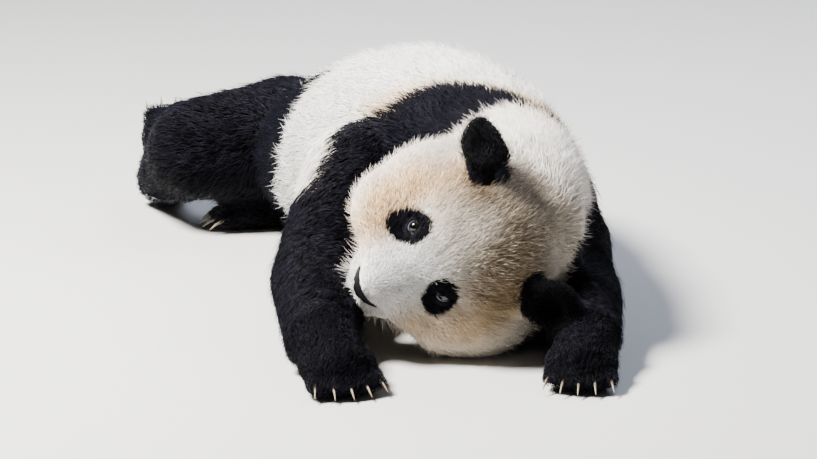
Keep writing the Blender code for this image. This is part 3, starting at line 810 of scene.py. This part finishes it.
for side, node in ((1, "eye_left"), (-1, "eye_right")):
    centre, along, out, across = eye_frame(side)
    look = out * (1 - GAZE_TO_VIEWER) + np.array(view_back) * GAZE_TO_VIEWER
    look /= np.linalg.norm(look)
    bm = bmesh.new()
    bmesh.ops.create_uvsphere(bm, u_segments=40, v_segments=28, radius=EYE_RADIUS)
    for vert in bm.verts:
        angle = vert.co.angle(Vector((0, 0, 1)))
        rise = math.cos(min(angle / CORNEA_ANGLE, 1) * math.pi / 2) ** 1.2 * CORNEA_RISE
        vert.co *= 1 + rise / EYE_RADIUS
    turn = Vector(look).to_track_quat("Z", "Y").to_matrix().to_4x4()
    bmesh.ops.transform(bm, matrix=Matrix.Translation(Vector(centre)) @ turn, verts=bm.verts)
    mesh = finished(bm, node + "ball")
    from_centre = coordinates(mesh) - centre
    cosine = from_centre @ look / np.linalg.norm(from_centre, axis=1)
    angle = np.arccos(np.clip(cosine, -1, 1))
    store(mesh, "gaze", angle)
    sideways = from_centre @ np.cross(look, across) / EYE_RADIUS
    upwards = from_centre @ across / EYE_RADIUS
    store(mesh, "slit", np.hypot(sideways * PUPIL_NARROWNESS, upwards) + FAR * (cosine < 0))
    store(mesh, "haw", step(*HAW_EDGE, -(from_centre @ along) / EYE_RADIUS))
    mesh.materials.append(eye_finish)
    mesh.shade_smooth()
    eyeball = new_object(node.replace("eye", "eyeball"), mesh)
    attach(eyeball, "root")
    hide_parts(node)

# ---------------------------------------------------------------- nose
# The bare nose is a wide low pad of pebbled black skin across the front of the muzzle, with a
# comma-shaped nostril to each side and a groove down its middle.
NOSE_HALF_WIDTH = 0.0365
NOSE_HALF_HEIGHT = 0.0155
NOSE_HALF_DEPTH = 0.0155
NOSE_FROM_EYES = (-0.0010, -0.0915, -0.0612)
NOSE_TOP = 0.0100           # of the pad over its middle, where the bridge's fur meets it
NOSE_BEND = 0.0100          # of its ends, backwards round the muzzle
NOSE_LIFT = 0.0020          # of the ends
NOSE_NARROWING = 0.30       # towards its lower edge
NOSTRIL_PLACE = (0.0135, -0.0030)   # across and up from the pad's middle
NOSTRIL_HALF_SIZES = (0.0042, 0.0036)
NOSTRIL_DEPTH = 0.0060
NOSTRIL_RIM = 0.0009        # how far its edge stands out
NOSE_GROOVE_WIDTH = 0.0011  # of the groove down the middle
NOSE_GROOVE_DEPTH = 0.0013
PEBBLE_MM = 1.26            # a little coarser than the real ones, which are too fine to show
BLOTCHES_IN_METRE = 120.0

# wet leathery skin: fine polygonal pebbles, glossier where the tongue keeps it wet
nose_finish, shader = new_material("wet_pebbled_nose_skin", Roughness=0.5, Coat_Weight=0.04,
                                   Specular_IOR_Level=0.12, Coat_Roughness=0.25)
where = add_node(nose_finish, "TexCoord", output="Object")
pebbles = add_node(nose_finish, "TexVoronoi", {"feature": "DISTANCE_TO_EDGE"},
                   {"Vector": where, "Scale": 1000.0 / PEBBLE_MM})
blotches = clouds(nose_finish, BLOTCHES_IN_METRE, 3.0)
colour = mixed(nose_finish, blotches, "#040304", "#0f0c0d")
rough = ranged(nose_finish, blotches, (0, 1), (0.48, 0.68))
bump = add_node(nose_finish, "Bump", inputs={"Height": pebbles, "Strength": 0.5, "Distance": 0.0005})
feed(shader, Base_Color=colour, Roughness=rough, Normal=bump)

bm = bmesh.new()
bmesh.ops.create_uvsphere(bm, u_segments=96, v_segments=64, radius=1.0)
mesh = finished(bm, "nose_pad")
x, y, z = coordinates(mesh).T
narrow = 1 - NOSE_NARROWING * np.maximum(0, -z)
half_height = np.where(z > 0, NOSE_TOP, NOSE_HALF_HEIGHT)
pad = np.stack([
    np.sign(x) * np.abs(x) ** 0.9 * NOSE_HALF_WIDTH * narrow,
    y * NOSE_HALF_DEPTH * (1 - 0.25 * x**2) + NOSE_BEND * x**2,
    z * half_height * (1 - 0.45 * x**2) + NOSE_LIFT * (1 - np.cos(x * 2.4)),
], axis=1)
ahead = np.clip(-y, 0, 1)
aside = np.abs(pad[:, 0]) - NOSTRIL_PLACE[0]
above = pad[:, 2] - NOSTRIL_PLACE[1]
comma = np.exp(-(aside / NOSTRIL_HALF_SIZES[0]) ** 2 - (above / NOSTRIL_HALF_SIZES[1]) ** 2)
tail = ((aside - 0.006) / 0.006) ** 2 + ((above + 0.0035 - 0.18 * aside) / 0.0016) ** 2
comma += np.exp(-tail)
rim = np.exp(-((np.hypot(aside / 1.25, above) - 0.0062) / 0.0018) ** 2)
groove = np.exp(-(pad[:, 0] / NOSE_GROOVE_WIDTH) ** 2) * step(0.0, 0.5, -z + 0.4)
sink = np.clip(comma, 0, 1) * NOSTRIL_DEPTH + groove * NOSE_GROOVE_DEPTH - rim * NOSTRIL_RIM
pad[:, 1] += sink * ahead
move_to(mesh, np.array([from_head(place) for place in pad + NOSE_FROM_EYES]))
mesh.materials.append(nose_finish)
mesh.shade_smooth()
nose_pad = new_object("nose_pad", mesh)
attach(nose_pad, "root")
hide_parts("nose")

# ---------------------------------------------------------------- claws
# Five long curved claws to each paw, rounder than the solids that they stand for.
STREAKS_IN_METRE = 420.0

# horn: dark and flaky at the root, worn pale and smooth towards the tip
horn_finish, shader = new_material("claw_horn", Roughness=0.38, IOR=1.55, Subsurface_Weight=0.15,
                                   Subsurface_Scale=0.004)
streaks = clouds(horn_finish, STREAKS_IN_METRE, 5.0)
share = add_node(horn_finish, "Math", {"operation": "MULTIPLY_ADD"},
                 {0: streaks, 1: 0.5, 2: stored(horn_finish, "along")})
share = ranged(horn_finish, share, (0.25, 1), (0, 1))
colour = mixed(horn_finish, share, "#1f1914", "#7d705c")
bump = add_node(horn_finish, "Bump", inputs={"Height": streaks, "Strength": 0.25, "Distance": 0.0004})
feed(shader, Base_Color=colour, Normal=bump)

for paw in ("fore_left", "fore_right", "hind_left", "hind_right"):
    nodes = sorted(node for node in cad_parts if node.startswith("claw_" + paw))
    foot = middle(("forepaw_" if "fore" in paw else "hind_foot_") + paw.split("_")[1])
    bm = bmesh.new()
    for node in nodes:
        bm.from_mesh(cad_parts[node].data)
    bmesh.ops.remove_doubles(bm, verts=bm.verts, dist=WELD)
    claws = new_object("claws_" + paw, finished(bm, "claws_" + paw))
    rounding = claws.modifiers.new("rounding", "SUBSURF")
    rounding.levels = rounding.render_levels = 2
    apply_modifiers(claws)
    places = coordinates(claws.data)
    centres = np.array([middle(node) for node in nodes])
    nearest = np.argmin(np.linalg.norm(places[:, None] - centres, axis=2), axis=1)
    share = np.zeros(len(places))
    for number in range(len(nodes)):
        own = nearest == number
        reach = np.linalg.norm(places[own] - np.array(foot), axis=1)
        share[own] = (reach - reach.min()) / np.ptp(reach)
    store(claws.data, "along", share)
    claws.data.materials.clear()
    claws.data.materials.append(horn_finish)
    claws.data.shade_smooth()
    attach(claws, "root")
    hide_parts(*nodes)

# ---------------------------------------------------------------- coat
# Thick woolly fur, laid backwards from the nose over head and back, and down and outwards over
# the legs. It is made of closed locks, each a slim spindle with a ridge, rooted in the hide and
# bent over to lie along the body, smallest on the muzzle, round the eyes and on the paws.
COAT_SEED = 41
LOCKS = {
    # kind of node: locks in a square centimetre, their length and their width
    "head": (44.0, 0.0175, 0.00112),
    "jaw": (34.0, 0.012, 0.0010),
    "ear": (34.0, 0.013, 0.0010),
    "neck": (25.0, 0.027, 0.00115),
    "shoulders": (12.5, 0.033, 0.0015),
    "trunk": (12.5, 0.035, 0.0017),
    "rump": (11.0, 0.036, 0.0018),
    "tail": (11.0, 0.032, 0.0018),
    "upper_arm": (9.5, 0.033, 0.0015),
    "forearm": (10.0, 0.031, 0.0014),
    "forepaw": (17.0, 0.019, 0.0011),
    "thigh": (8.5, 0.033, 0.0017),
    "shank": (9.5, 0.028, 0.0015),
    "hind_foot": (16.0, 0.014, 0.0012),
}
FACE_LOCKS = (54.0, 0.0105, 0.0008)
LENGTH_SPREAD = (0.70, 1.22)    # of single locks, and of how far they stand off and how wide
RISE_SPREAD = (0.60, 1.08)
WIDTH_SPREAD = (0.75, 1.25)
LEAN = 0.94                 # of a lock's length, from root to tip along the hide
LEAN_LOSS = 0.39            # of that in the hairs that stand up
UNDER_SHARE = 0.22          # of the locks, underneath, where the body lies on the floor
UNDER_SLOPE = (0.35, 0.85)  # how far the hide there faces down, and how high it lies
UNDER_HEIGHT = (0.05, 0.12)
BACK_FLOW = (0.0, 1.0, -0.35)       # the way the hairs lie on the body
THIGH_FLOW = (0.0, 0.8, -0.6)       # and on the left thigh, which is folded under
FORELEG_FLOW = (0.85, 0.45, -0.25)  # outwards, back and down, added on the forelegs
FORELEG_SHARE = {"upper_arm": 1.1, "forearm": 0.7, "forepaw": 0.2}
WHORL_FROM_NOSE = (0, -0.010, 0.012)    # where the hairs of the head start from
SKULL_MIDDLE = (0, 0.110, -0.010)
FLOW_BLEND = 14             # rounds of softening of the flow along the hide
SWAY = 0.45                 # how much it wanders, and in how many waves to a metre
SWAY_WAVES = 14.0
LAY_SPREAD = 0.32           # radians, from one hair to the next
EYE_FADE = (0.001, 0.016)   # from the lids' rim, and from the nose pad, where hairs change
NOSE_FADE = (0.0, 0.016)
BY_EYE = {"shorter": 0.58, "flatter": 0.72, "denser": 0.9}
BY_NOSE = {"shorter": 0.58, "flatter": 0.55, "denser": 0.5}
NOSE_SEARCH = 0.03          # further from the pad than this counts as this
BARE_LIPS = 0.0030          # hairless edges of lips, nose pad and lids
BARE_NOSE = 0.0006
BARE_LIDS = 0.0011
LOCK_FLAT = 0.45            # thickness over width
RING_ALONG = 0.40           # where the lock is widest and bends over
RING_RISE = 0.72
ROOT_DEPTH = 0.0008         # in the hide
FLOOR_GAP = 0.0004          # the lowest hairs keep this clear of the floor
WHISKERS = 180
WHISKER_LENGTH = 0.032
WHISKER_WIDTH = 0.0005
WHISKERS_FROM_NOSE = 0.021
WHISKER_SPREAD = 0.25
LOOSE_SHARE = 0.10          # of hairs that stand out of the coat, elsewhere and on the ears
LOOSE_SHARE_EAR = 0.45
LOOSE_FROM_NOSE = 0.012
LOOSE_RISE = 1.40           # how much further they stand out, and how fine they are
LOOSE_BLACK_RISE = 1.25
LOOSE_WIDTH = 0.5
LOOSE_LENGTH = 1.15
ERECT = {"head": 1.0, "jaw": 1.0, "ear": 1.0, "neck": 0.8}      # how far they stand up
ERECT_ELSEWHERE = 0.35
CLUMP_LOCKS = 7             # locks whose tips lean together, and how far they do
CLUMP_PULL = 0.24
CLUMP_PULL_HEAD = 0.08
CLUMP_PULL_LEGS = 0.36
PATCH_SIZE = 0.003          # of a lock on the map
CROWN_START = 0.100         # behind the eyes
EDGE_MIXING = 0.42          # how far black and white hairs mix along an edge
BROWN_TIPPED = 0.70         # share of the hairs in the brown band, which also carries painted shade
PAINTED_SHINE_SHARE = 0.12         # of the black hairs painted lighter as painted highlights, and of whole clumps
PAINTED_SHINE_CLUMPS = 0.30
PAINTED_SHINE = {"hair": 1.4, "clump": 0.9}     # how much lighter those painted highlights are
BLACK_SHADE = -0.80         # of the other black hairs, and less on the ears
EAR_SHADE = -0.9
SOFT_SHADE = 0.28           # how far the locks are shaded as one rounded surface
COAT_PIECES = {
    # name: kinds of node, side of the body (1 left, -1 right, 0 both), slot
    "coat_face": (("face",), 0, "coat_cream"),
    "coat_head_left": (HEAD_KINDS, 1, "coat_cream"),
    "coat_head_right": (HEAD_KINDS, -1, "coat_cream"),
    "coat_crown": (("crown",), 0, "coat_cream"),
    "coat_ears": (("ear",), 0, "coat_black"),
    "coat_nape": (("neck",), 0, "coat_cream"),
    "coat_shoulders": (("shoulders",), 0, "coat_black"),
    "coat_back_left": (("trunk",), 1, "coat_cream"),
    "coat_back_right": (("trunk",), -1, "coat_cream"),
    "coat_rump": (("rump", "tail"), 0, "coat_cream"),
    "coat_foreleg_left": (FORELEG, 1, "coat_black"),
    "coat_foreleg_right": (FORELEG, -1, "coat_black"),
    "coat_hind_leg_left": (HIND_LEG, 1, "coat_black"),
    "coat_hind_leg_right": (HIND_LEG, -1, "coat_black"),
}


def flow_at(points, nodes):
    """The way the hairs lie: from the nose backwards, along the back, and down the legs."""
    local = in_head(points)
    flow = np.tile(BACK_FLOW, (len(points), 1))
    head = np.isin(kinds_of(nodes), HEAD_KINDS)
    from_nose = local - (nose_place + np.array(WHORL_FROM_NOSE))
    flow[head] = (from_nose @ HEAD_AXES.T)[head]
    outwards, back, down = FORELEG_FLOW
    skull = np.array(from_head(SKULL_MIDDLE))
    for side, mirror in (("left", 1), ("right", -1)):
        for chain in (FORELEG, HIND_LEG):
            marks = [np.array(middle(f"{kind}_{side}")) for kind in chain]
            ways = [marks[1] - marks[0], marks[2] - marks[0], marks[2] - marks[1]]
            for kind, way in zip(chain, ways):
                flow[nodes == f"{kind}_{side}"] = way / np.linalg.norm(way)
        for kind, share in FORELEG_SHARE.items():
            flow[nodes == f"{kind}_{side}"] += share * np.array((outwards * mirror, back, down))
        flow[nodes == "ear_" + side] = np.array(middle("ear_" + side)) - skull
    flow[nodes == "thigh_left"] = THIGH_FLOW
    return unit_rows(flow)


normals = vertex_normals(skin.data)
face = muzzle_share(local) * np.isin(kinds, HEAD_KINDS)


def by_kind(table, on_face, rounds):
    """A value for each kind of node, another on the muzzle, blended along the hide."""
    values = np.array([table[kind] for kind in kinds]) * (1 - face) + on_face * face
    return soften(values, ends, rounds)


depth = by_kind(COAT_DEPTH, MUZZLE_DEPTH, 8)
crowd, length, width = [
    by_kind({kind: locks[column] for kind, locks in LOCKS.items()}, FACE_LOCKS[column], rounds)
    for column, rounds in enumerate((4, 8, 8))
]
under = step(*UNDER_SLOPE, -normals[:, 2]) * (1 - step(*UNDER_HEIGHT, points[:, 2]))
crowd *= 1 - (1 - UNDER_SHARE) * under
flow = soften(flow_at(points, owner), ends, FLOW_BLEND)
sway = np.stack([waves(points, SWAY_WAVES, seed) for seed in (21.0, 34.0, 55.0)], axis=1)
flow = unit_rows(flow) + SWAY * sway
near_eye = 1 - step(*EYE_FADE, lid_rim)
in_lips = (np.abs(height) < BARE_LIPS) & (inside > 0.5) & on_muzzle
nose_tree = BVHTree.FromPolygons([vert.co for vert in nose_pad.data.vertices],
                                 [part.vertices for part in nose_pad.data.polygons])
from_nose_pad = np.full(len(points), NOSE_SEARCH)   # less than 0 inside the pad
for index in np.flatnonzero(on_muzzle):
    place, pad_out, _, gap = nose_tree.find_nearest(Vector(points[index]), NOSE_SEARCH)
    if place is not None:
        ahead = (Vector(points[index]) - place).dot(pad_out)
        from_nose_pad[index] = math.copysign(gap, ahead)
near_nose = 1 - step(*NOSE_FADE, from_nose_pad)
length *= (1 - BY_EYE["shorter"] * near_eye) * (1 - BY_NOSE["shorter"] * near_nose)
depth_lock = depth * (1 - BY_EYE["flatter"] * near_eye) * (1 - BY_NOSE["flatter"] * near_nose)
crowd *= 1 + BY_EYE["denser"] * near_eye + BY_NOSE["denser"] * near_nose
bald = in_lips | (from_nose_pad < BARE_NOSE) | (lid_rim < BARE_LIDS)

skin.data.calc_loop_triangles()
skin_triangles = skin.data.loop_triangles
corners = np.empty(len(skin_triangles) * 3, np.int32)
skin_triangles.foreach_get("vertices", corners)
corners = corners.reshape(-1, 3)
areas = np.empty(len(corners), np.float32)
skin_triangles.foreach_get("area", areas)
chance = areas * 1e4 * crowd[corners].mean(axis=1) * ~bald[corners].any(axis=1)
draws = np.random.default_rng(COAT_SEED)
total = np.cumsum(chance)
order = np.arange(int(total[-1]))
picked = np.searchsorted(total, order + draws.random(len(order)))
picked = np.minimum(picked, len(corners) - 1)
weights = draws.random((len(picked), 2))
flip = weights.sum(axis=1) > 1
weights[flip] = 1 - weights[flip]
weights = np.stack([1 - weights.sum(axis=1), weights[:, 0], weights[:, 1]], axis=1)


def at_roots(values):
    """Values of the hide's vertices, blended at each lock's root."""
    chosen = np.asarray(values)[corners[picked]]
    return np.einsum("ij,ij...->i...", weights, chosen)


roots = at_roots(points)
out = unit_rows(at_roots(normals))
lay = at_roots(flow)
lay = unit_rows(lay - out * np.einsum("ij,ij->i", lay, out)[:, None])
aside = np.cross(out, lay)
turn = draws.normal(0, LAY_SPREAD, len(roots))[:, None]
lay = lay * np.cos(turn) + aside * np.sin(turn)
aside = np.cross(out, lay)
home = owner[corners[picked, 0]]
home_kind = kinds[corners[picked, 0]]
on_ear = home_kind == "ear"
on_head = np.isin(home_kind, HEAD_KINDS)
on_legs = np.isin(home_kind, FORELEG + HIND_LEG)
root_local = in_head(roots)
from_pad = at_roots(from_nose_pad)
loose = draws.random(len(roots)) < np.where(on_ear, LOOSE_SHARE_EAR, LOOSE_SHARE)
loose &= from_pad > LOOSE_FROM_NOSE
lengths = at_roots(length) * draws.uniform(*LENGTH_SPREAD, len(roots))
lengths *= np.where(loose, LOOSE_LENGTH, 1.0)
loose_rise = np.where(at_roots(skin_marks["black"]) > 0, LOOSE_BLACK_RISE, LOOSE_RISE)
rises = at_roots(depth_lock) * draws.uniform(*RISE_SPREAD, len(roots))
rises *= np.where(loose, loose_rise, 1.0)
widths = at_roots(width) * draws.uniform(*WIDTH_SPREAD, len(roots))
widths *= np.where(loose, LOOSE_WIDTH, 1.0)
lip_side = (root_local[:, 1] < -0.045) & (root_local[:, 2] < -0.030) & (at_roots(face) > 0.7)
lip_side &= from_pad > WHISKERS_FROM_NOSE
whiskers = draws.choice(np.flatnonzero(lip_side), WHISKERS, replace=False)
lengths[whiskers] = WHISKER_LENGTH * draws.uniform(0.6, 1.25, WHISKERS)
widths[whiskers] = WHISKER_WIDTH
loose[whiskers] = True
erect = np.array([ERECT.get(kind, ERECT_ELSEWHERE) for kind in kinds])[corners[picked, 0]] * loose
lean = LEAN - LEAN_LOSS * erect
rises += erect * lengths * draws.uniform(0.05, 0.40, len(roots))
tips = roots + lay * (lengths * lean)[:, None]
tip_faces = picked.copy()
tree = BVHTree.FromPolygons([Vector(point) for point in points], corners.tolist())
for number, tip in enumerate(tips):
    place, face_out, index, gap = tree.find_nearest(Vector(tip))
    if gap < lengths[number] * 0.6:
        tips[number] = np.array(place + face_out * rises[number])
        tip_faces[number] = index
    else:
        tips[number] = tip + out[number] * rises[number]
leaders = draws.choice(len(roots), len(roots) // CLUMP_LOCKS, replace=False)
finder = KDTree(len(leaders))
for number in leaders:
    finder.insert(Vector(roots[number]), int(number))
finder.balance()
led_by = np.array([finder.find(Vector(root))[1] for root in roots])
apart = np.linalg.norm(roots - roots[led_by], axis=1)
pull = np.select([on_head | on_ear, on_legs], [CLUMP_PULL_HEAD, CLUMP_PULL_LEGS], CLUMP_PULL)
pull *= draws.uniform(0.3, 1.7, len(roots)) * (apart < lengths * 0.5) * ~loose
tips += (tips[led_by] - tips) * pull[:, None]
rings = roots + lay * (lengths * RING_ALONG)[:, None] * 0.85 + out * (rises * RING_RISE)[:, None]
first, second = unit_rows(rings - roots), unit_rows(tips - rings)
hooked = np.einsum("ij,ij->i", first, second) < 0.25
straight = rings + unit_rows(first + lay) * (lengths * (1 - RING_ALONG))[:, None]
tips = np.where(hooked[:, None], straight, tips)
spread = draws.normal(0, WHISKER_SPREAD, (WHISKERS, 3))
whisker_ways = unit_rows(out[whiskers] + 0.75 * lay[whiskers] + spread)
tips[whiskers] = roots[whiskers] + whisker_ways * lengths[whiskers, None]
rings[whiskers] = (roots[whiskers] + tips[whiskers]) / 2
roots_sunk = roots - out * ROOT_DEPTH
home_side = np.where(np.char.endswith(home, "_left"), 1, -1)
home_side = np.where(on_head, np.sign(root_local[:, 0]), home_side)
home_side = np.where(home_kind == "trunk", np.sign(roots[:, 0]), home_side)
home_kind = np.where(at_roots(face) > 0.45, "face", home_kind)
home_kind = np.where(on_head & (root_local[:, 1] > CROWN_START), "crown", home_kind)


def along_locks(values):
    """Values of the hide halfway along each lock."""
    return (at_roots(values) + values[corners[tip_faces]].mean(axis=1)) / 2


marks = {name: along_locks(values) for name, values in skin_marks.items()}
is_black = (marks["black"] + draws.normal(0, EDGE_MIXING, len(roots)) > 0) | on_ear
marks["brown_and_shade"] *= 0.25 + 1.35 * (draws.random(len(roots)) < BROWN_TIPPED)
marks["tan"] *= draws.uniform(0.6, 1.4, len(roots))
tone_and_highlight = draws.normal(0, 1, len(roots)) * 0.5 + waves(roots, 90.0, 13.0)
# painted highlights: some black locks, and whole clumps, are coloured lighter where light would catch
# them
shine_painted = is_black & (draws.random(len(roots)) < PAINTED_SHINE_SHARE)
shine_painted_clump = is_black & ~on_ear & (draws.random(len(roots)) < PAINTED_SHINE_CLUMPS)[led_by]
tone_and_highlight = np.where(is_black, tone_and_highlight * 0.6 + BLACK_SHADE + EAR_SHADE * on_ear, tone_and_highlight)
tone_and_highlight += PAINTED_SHINE["hair"] * shine_painted + PAINTED_SHINE["clump"] * shine_painted_clump

# one lock: a sphere of three sides and two poles, so five corners and six faces
bm = bmesh.new()
bmesh.ops.create_uvsphere(bm, u_segments=3, v_segments=2, radius=1.0)
bmesh.ops.triangulate(bm, faces=bm.faces)
ridge = max(bm.verts, key=lambda vert: vert.co.xy.length)
ridge_turn = Matrix.Rotation(math.pi / 2 - math.atan2(ridge.co.y, ridge.co.x), 3, "Z")
bmesh.ops.rotate(bm, cent=(0, 0, 0), matrix=ridge_turn, verts=bm.verts)
bm.verts.ensure_lookup_table()
lock_form = np.array([vert.co for vert in bm.verts])
lock_faces = np.array([[vert.index for vert in face.verts] for face in bm.faces])
bm.free()


def lock_tone_and_highlight(material, colour, low, high):
    """The colour with each lock a little lighter or darker than the next, and black locks painted
    lighter as painted highlights.
    """
    value = ranged(material, stored(material, "tone_and_highlight"), (-1.2, 1.2), (low, high))
    return add_node(material, "HueSaturation", inputs={"Color": colour, "Value": value})


def along_lock(material):
    """How far a point is from a lock's root towards its tip, 0 to 1."""
    return ranged(material, stored(material, "tip"), (0.05, 0.75), (0, 1))


# cream guard hair: soft and dull, darker and yellower at the root, palest at the tip
cream_hair, shader = new_material("cream_guard_hair", Roughness=0.66, Sheen_Weight=0.22,
                                  Sheen_Roughness=0.5, Specular_IOR_Level=0.3)
pale = pale_coat(cream_hair, along_lock(cream_hair))
feed(shader, Base_Color=lock_tone_and_highlight(cream_hair, pale, 0.66, 1.16))

# black guard hair: near black with a faint cold sheen, and some locks painted lighter as painted
# highlights where the light runs along them
black_hair, shader = new_material("black_guard_hair", Roughness=0.46, Sheen_Weight=0.010,
                                  Sheen_Roughness=0.4, Specular_IOR_Level=0.05)
shader.inputs["Sheen Tint"].default_value = linear("#93a4cc")
dark = black_coat(black_hair, along_lock(black_hair))
feed(shader, Base_Color=lock_tone_and_highlight(black_hair, dark, 0.15, 2.4))


def triangle_mesh(name, places, faces):
    """A mesh of triangles, each given by its three corners' numbers."""
    made = bpy.data.meshes.new(name)
    made.vertices.add(len(places))
    made.vertices.foreach_set("co", places.astype(np.float32).ravel())
    made.loops.add(faces.size)
    made.loops.foreach_set("vertex_index", faces.astype(np.int32).ravel())
    made.polygons.add(len(faces))
    made.polygons.foreach_set("loop_start", np.arange(0, faces.size, 3, dtype=np.int32))
    made.update(calc_edges=True)
    return made


def unwrapped(name, used):
    """Some of the hide's faces laid flat beside each other in a unit square: their corners."""
    kept, own_corners = np.unique(corners[used], return_inverse=True)
    flat = triangle_mesh(name + "_flat", points[kept], own_corners.reshape(-1, 3))
    flat.uv_layers.new(name="OFBake")
    sheet = new_object(name + "_flat", flat)
    bpy.context.view_layer.objects.active = sheet
    sheet.select_set(True)
    bpy.ops.object.mode_set(mode="EDIT")
    bpy.ops.mesh.select_all(action="SELECT")
    bpy.ops.uv.smart_project(angle_limit=math.radians(66), island_margin=0.003)
    bpy.ops.object.mode_set(mode="OBJECT")
    places = np.empty(len(used) * 6, np.float32)
    flat.uv_layers["OFBake"].uv.foreach_get("vector", places)
    bpy.data.objects.remove(sheet)
    bpy.data.meshes.remove(flat)
    return places.reshape(-1, 3, 2).astype(float)


def lock_mesh(name, own):
    """All locks of one piece as one mesh, each a copy of the one form, bent and scaled."""
    count = own.sum()
    ring = np.abs(lock_form[:, 2]) < 0.5
    is_tip, is_root = lock_form[:, 2] > 0.5, lock_form[:, 2] < -0.5
    spine = np.zeros((count, len(lock_form), 3))
    spine[:, ring] = rings[own][:, None]
    spine[:, is_tip] = tips[own][:, None]
    spine[:, is_root] = roots_sunk[own][:, None]
    over = unit_rows(np.cross(unit_rows(tips[own] - roots_sunk[own]), aside[own]))
    wide = widths[own][:, None, None] / 2
    turned = lock_form[:, :2] * ring[:, None]
    locks = spine + aside[own][:, None] * turned[None, :, :1] * wide
    locks += over[:, None] * turned[None, :, 1:2] * wide * LOCK_FLAT * 2
    locks[..., 2] = np.maximum(locks[..., 2], FLOOR_GAP)
    faces = (lock_faces[None] + np.arange(count)[:, None, None] * len(lock_form)).reshape(-1, 3)
    made = triangle_mesh(name, locks.reshape(-1, 3), faces)
    for finish in (cream_hair, black_hair):
        made.materials.append(finish)
    finishes = np.repeat(is_black[own], len(lock_faces)).astype(np.int32)
    made.polygons.foreach_set("material_index", finishes)
    for mark in ("tan", "brown_and_shade", "white"):
        store(made, mark, np.repeat(marks[mark][own], len(lock_form)))
    store(made, "tone_and_highlight", np.repeat(tone_and_highlight[own], len(lock_form)))
    along = np.where(is_tip, 1.0, np.where(ring, 0.5, 0.0))
    store(made, "tip", np.tile(along, count))
    used, own_face = np.unique(picked[own], return_inverse=True)
    root_place = np.einsum("ij,ijk->ik", weights[own], unwrapped(name, used)[own_face])
    root_place = np.clip(root_place, PATCH_SIZE / 2, 1 - PATCH_SIZE / 2)
    patch = lock_form[:, (0, 2)] * PATCH_SIZE / 2
    map_places = (root_place[:, None] + patch[None]).reshape(-1, 2)[faces.ravel()]
    made.uv_layers.new(name="OFBake").uv.foreach_set("vector", map_places.astype(np.float32).ravel())
    made.shade_smooth()
    rounded = np.repeat(out[own], len(lock_form), axis=0)
    soft = unit_rows(vertex_normals(made) * (1 - SOFT_SHADE) + rounded * SOFT_SHADE)
    made.normals_split_custom_set_from_vertices(soft)
    return made


for name, (piece_kinds, side, slot) in COAT_PIECES.items():
    own = np.isin(home_kind, piece_kinds) & ((side == 0) | (home_side == side))
    piece = new_object(name, lock_mesh(name, own))
    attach(piece, "root")
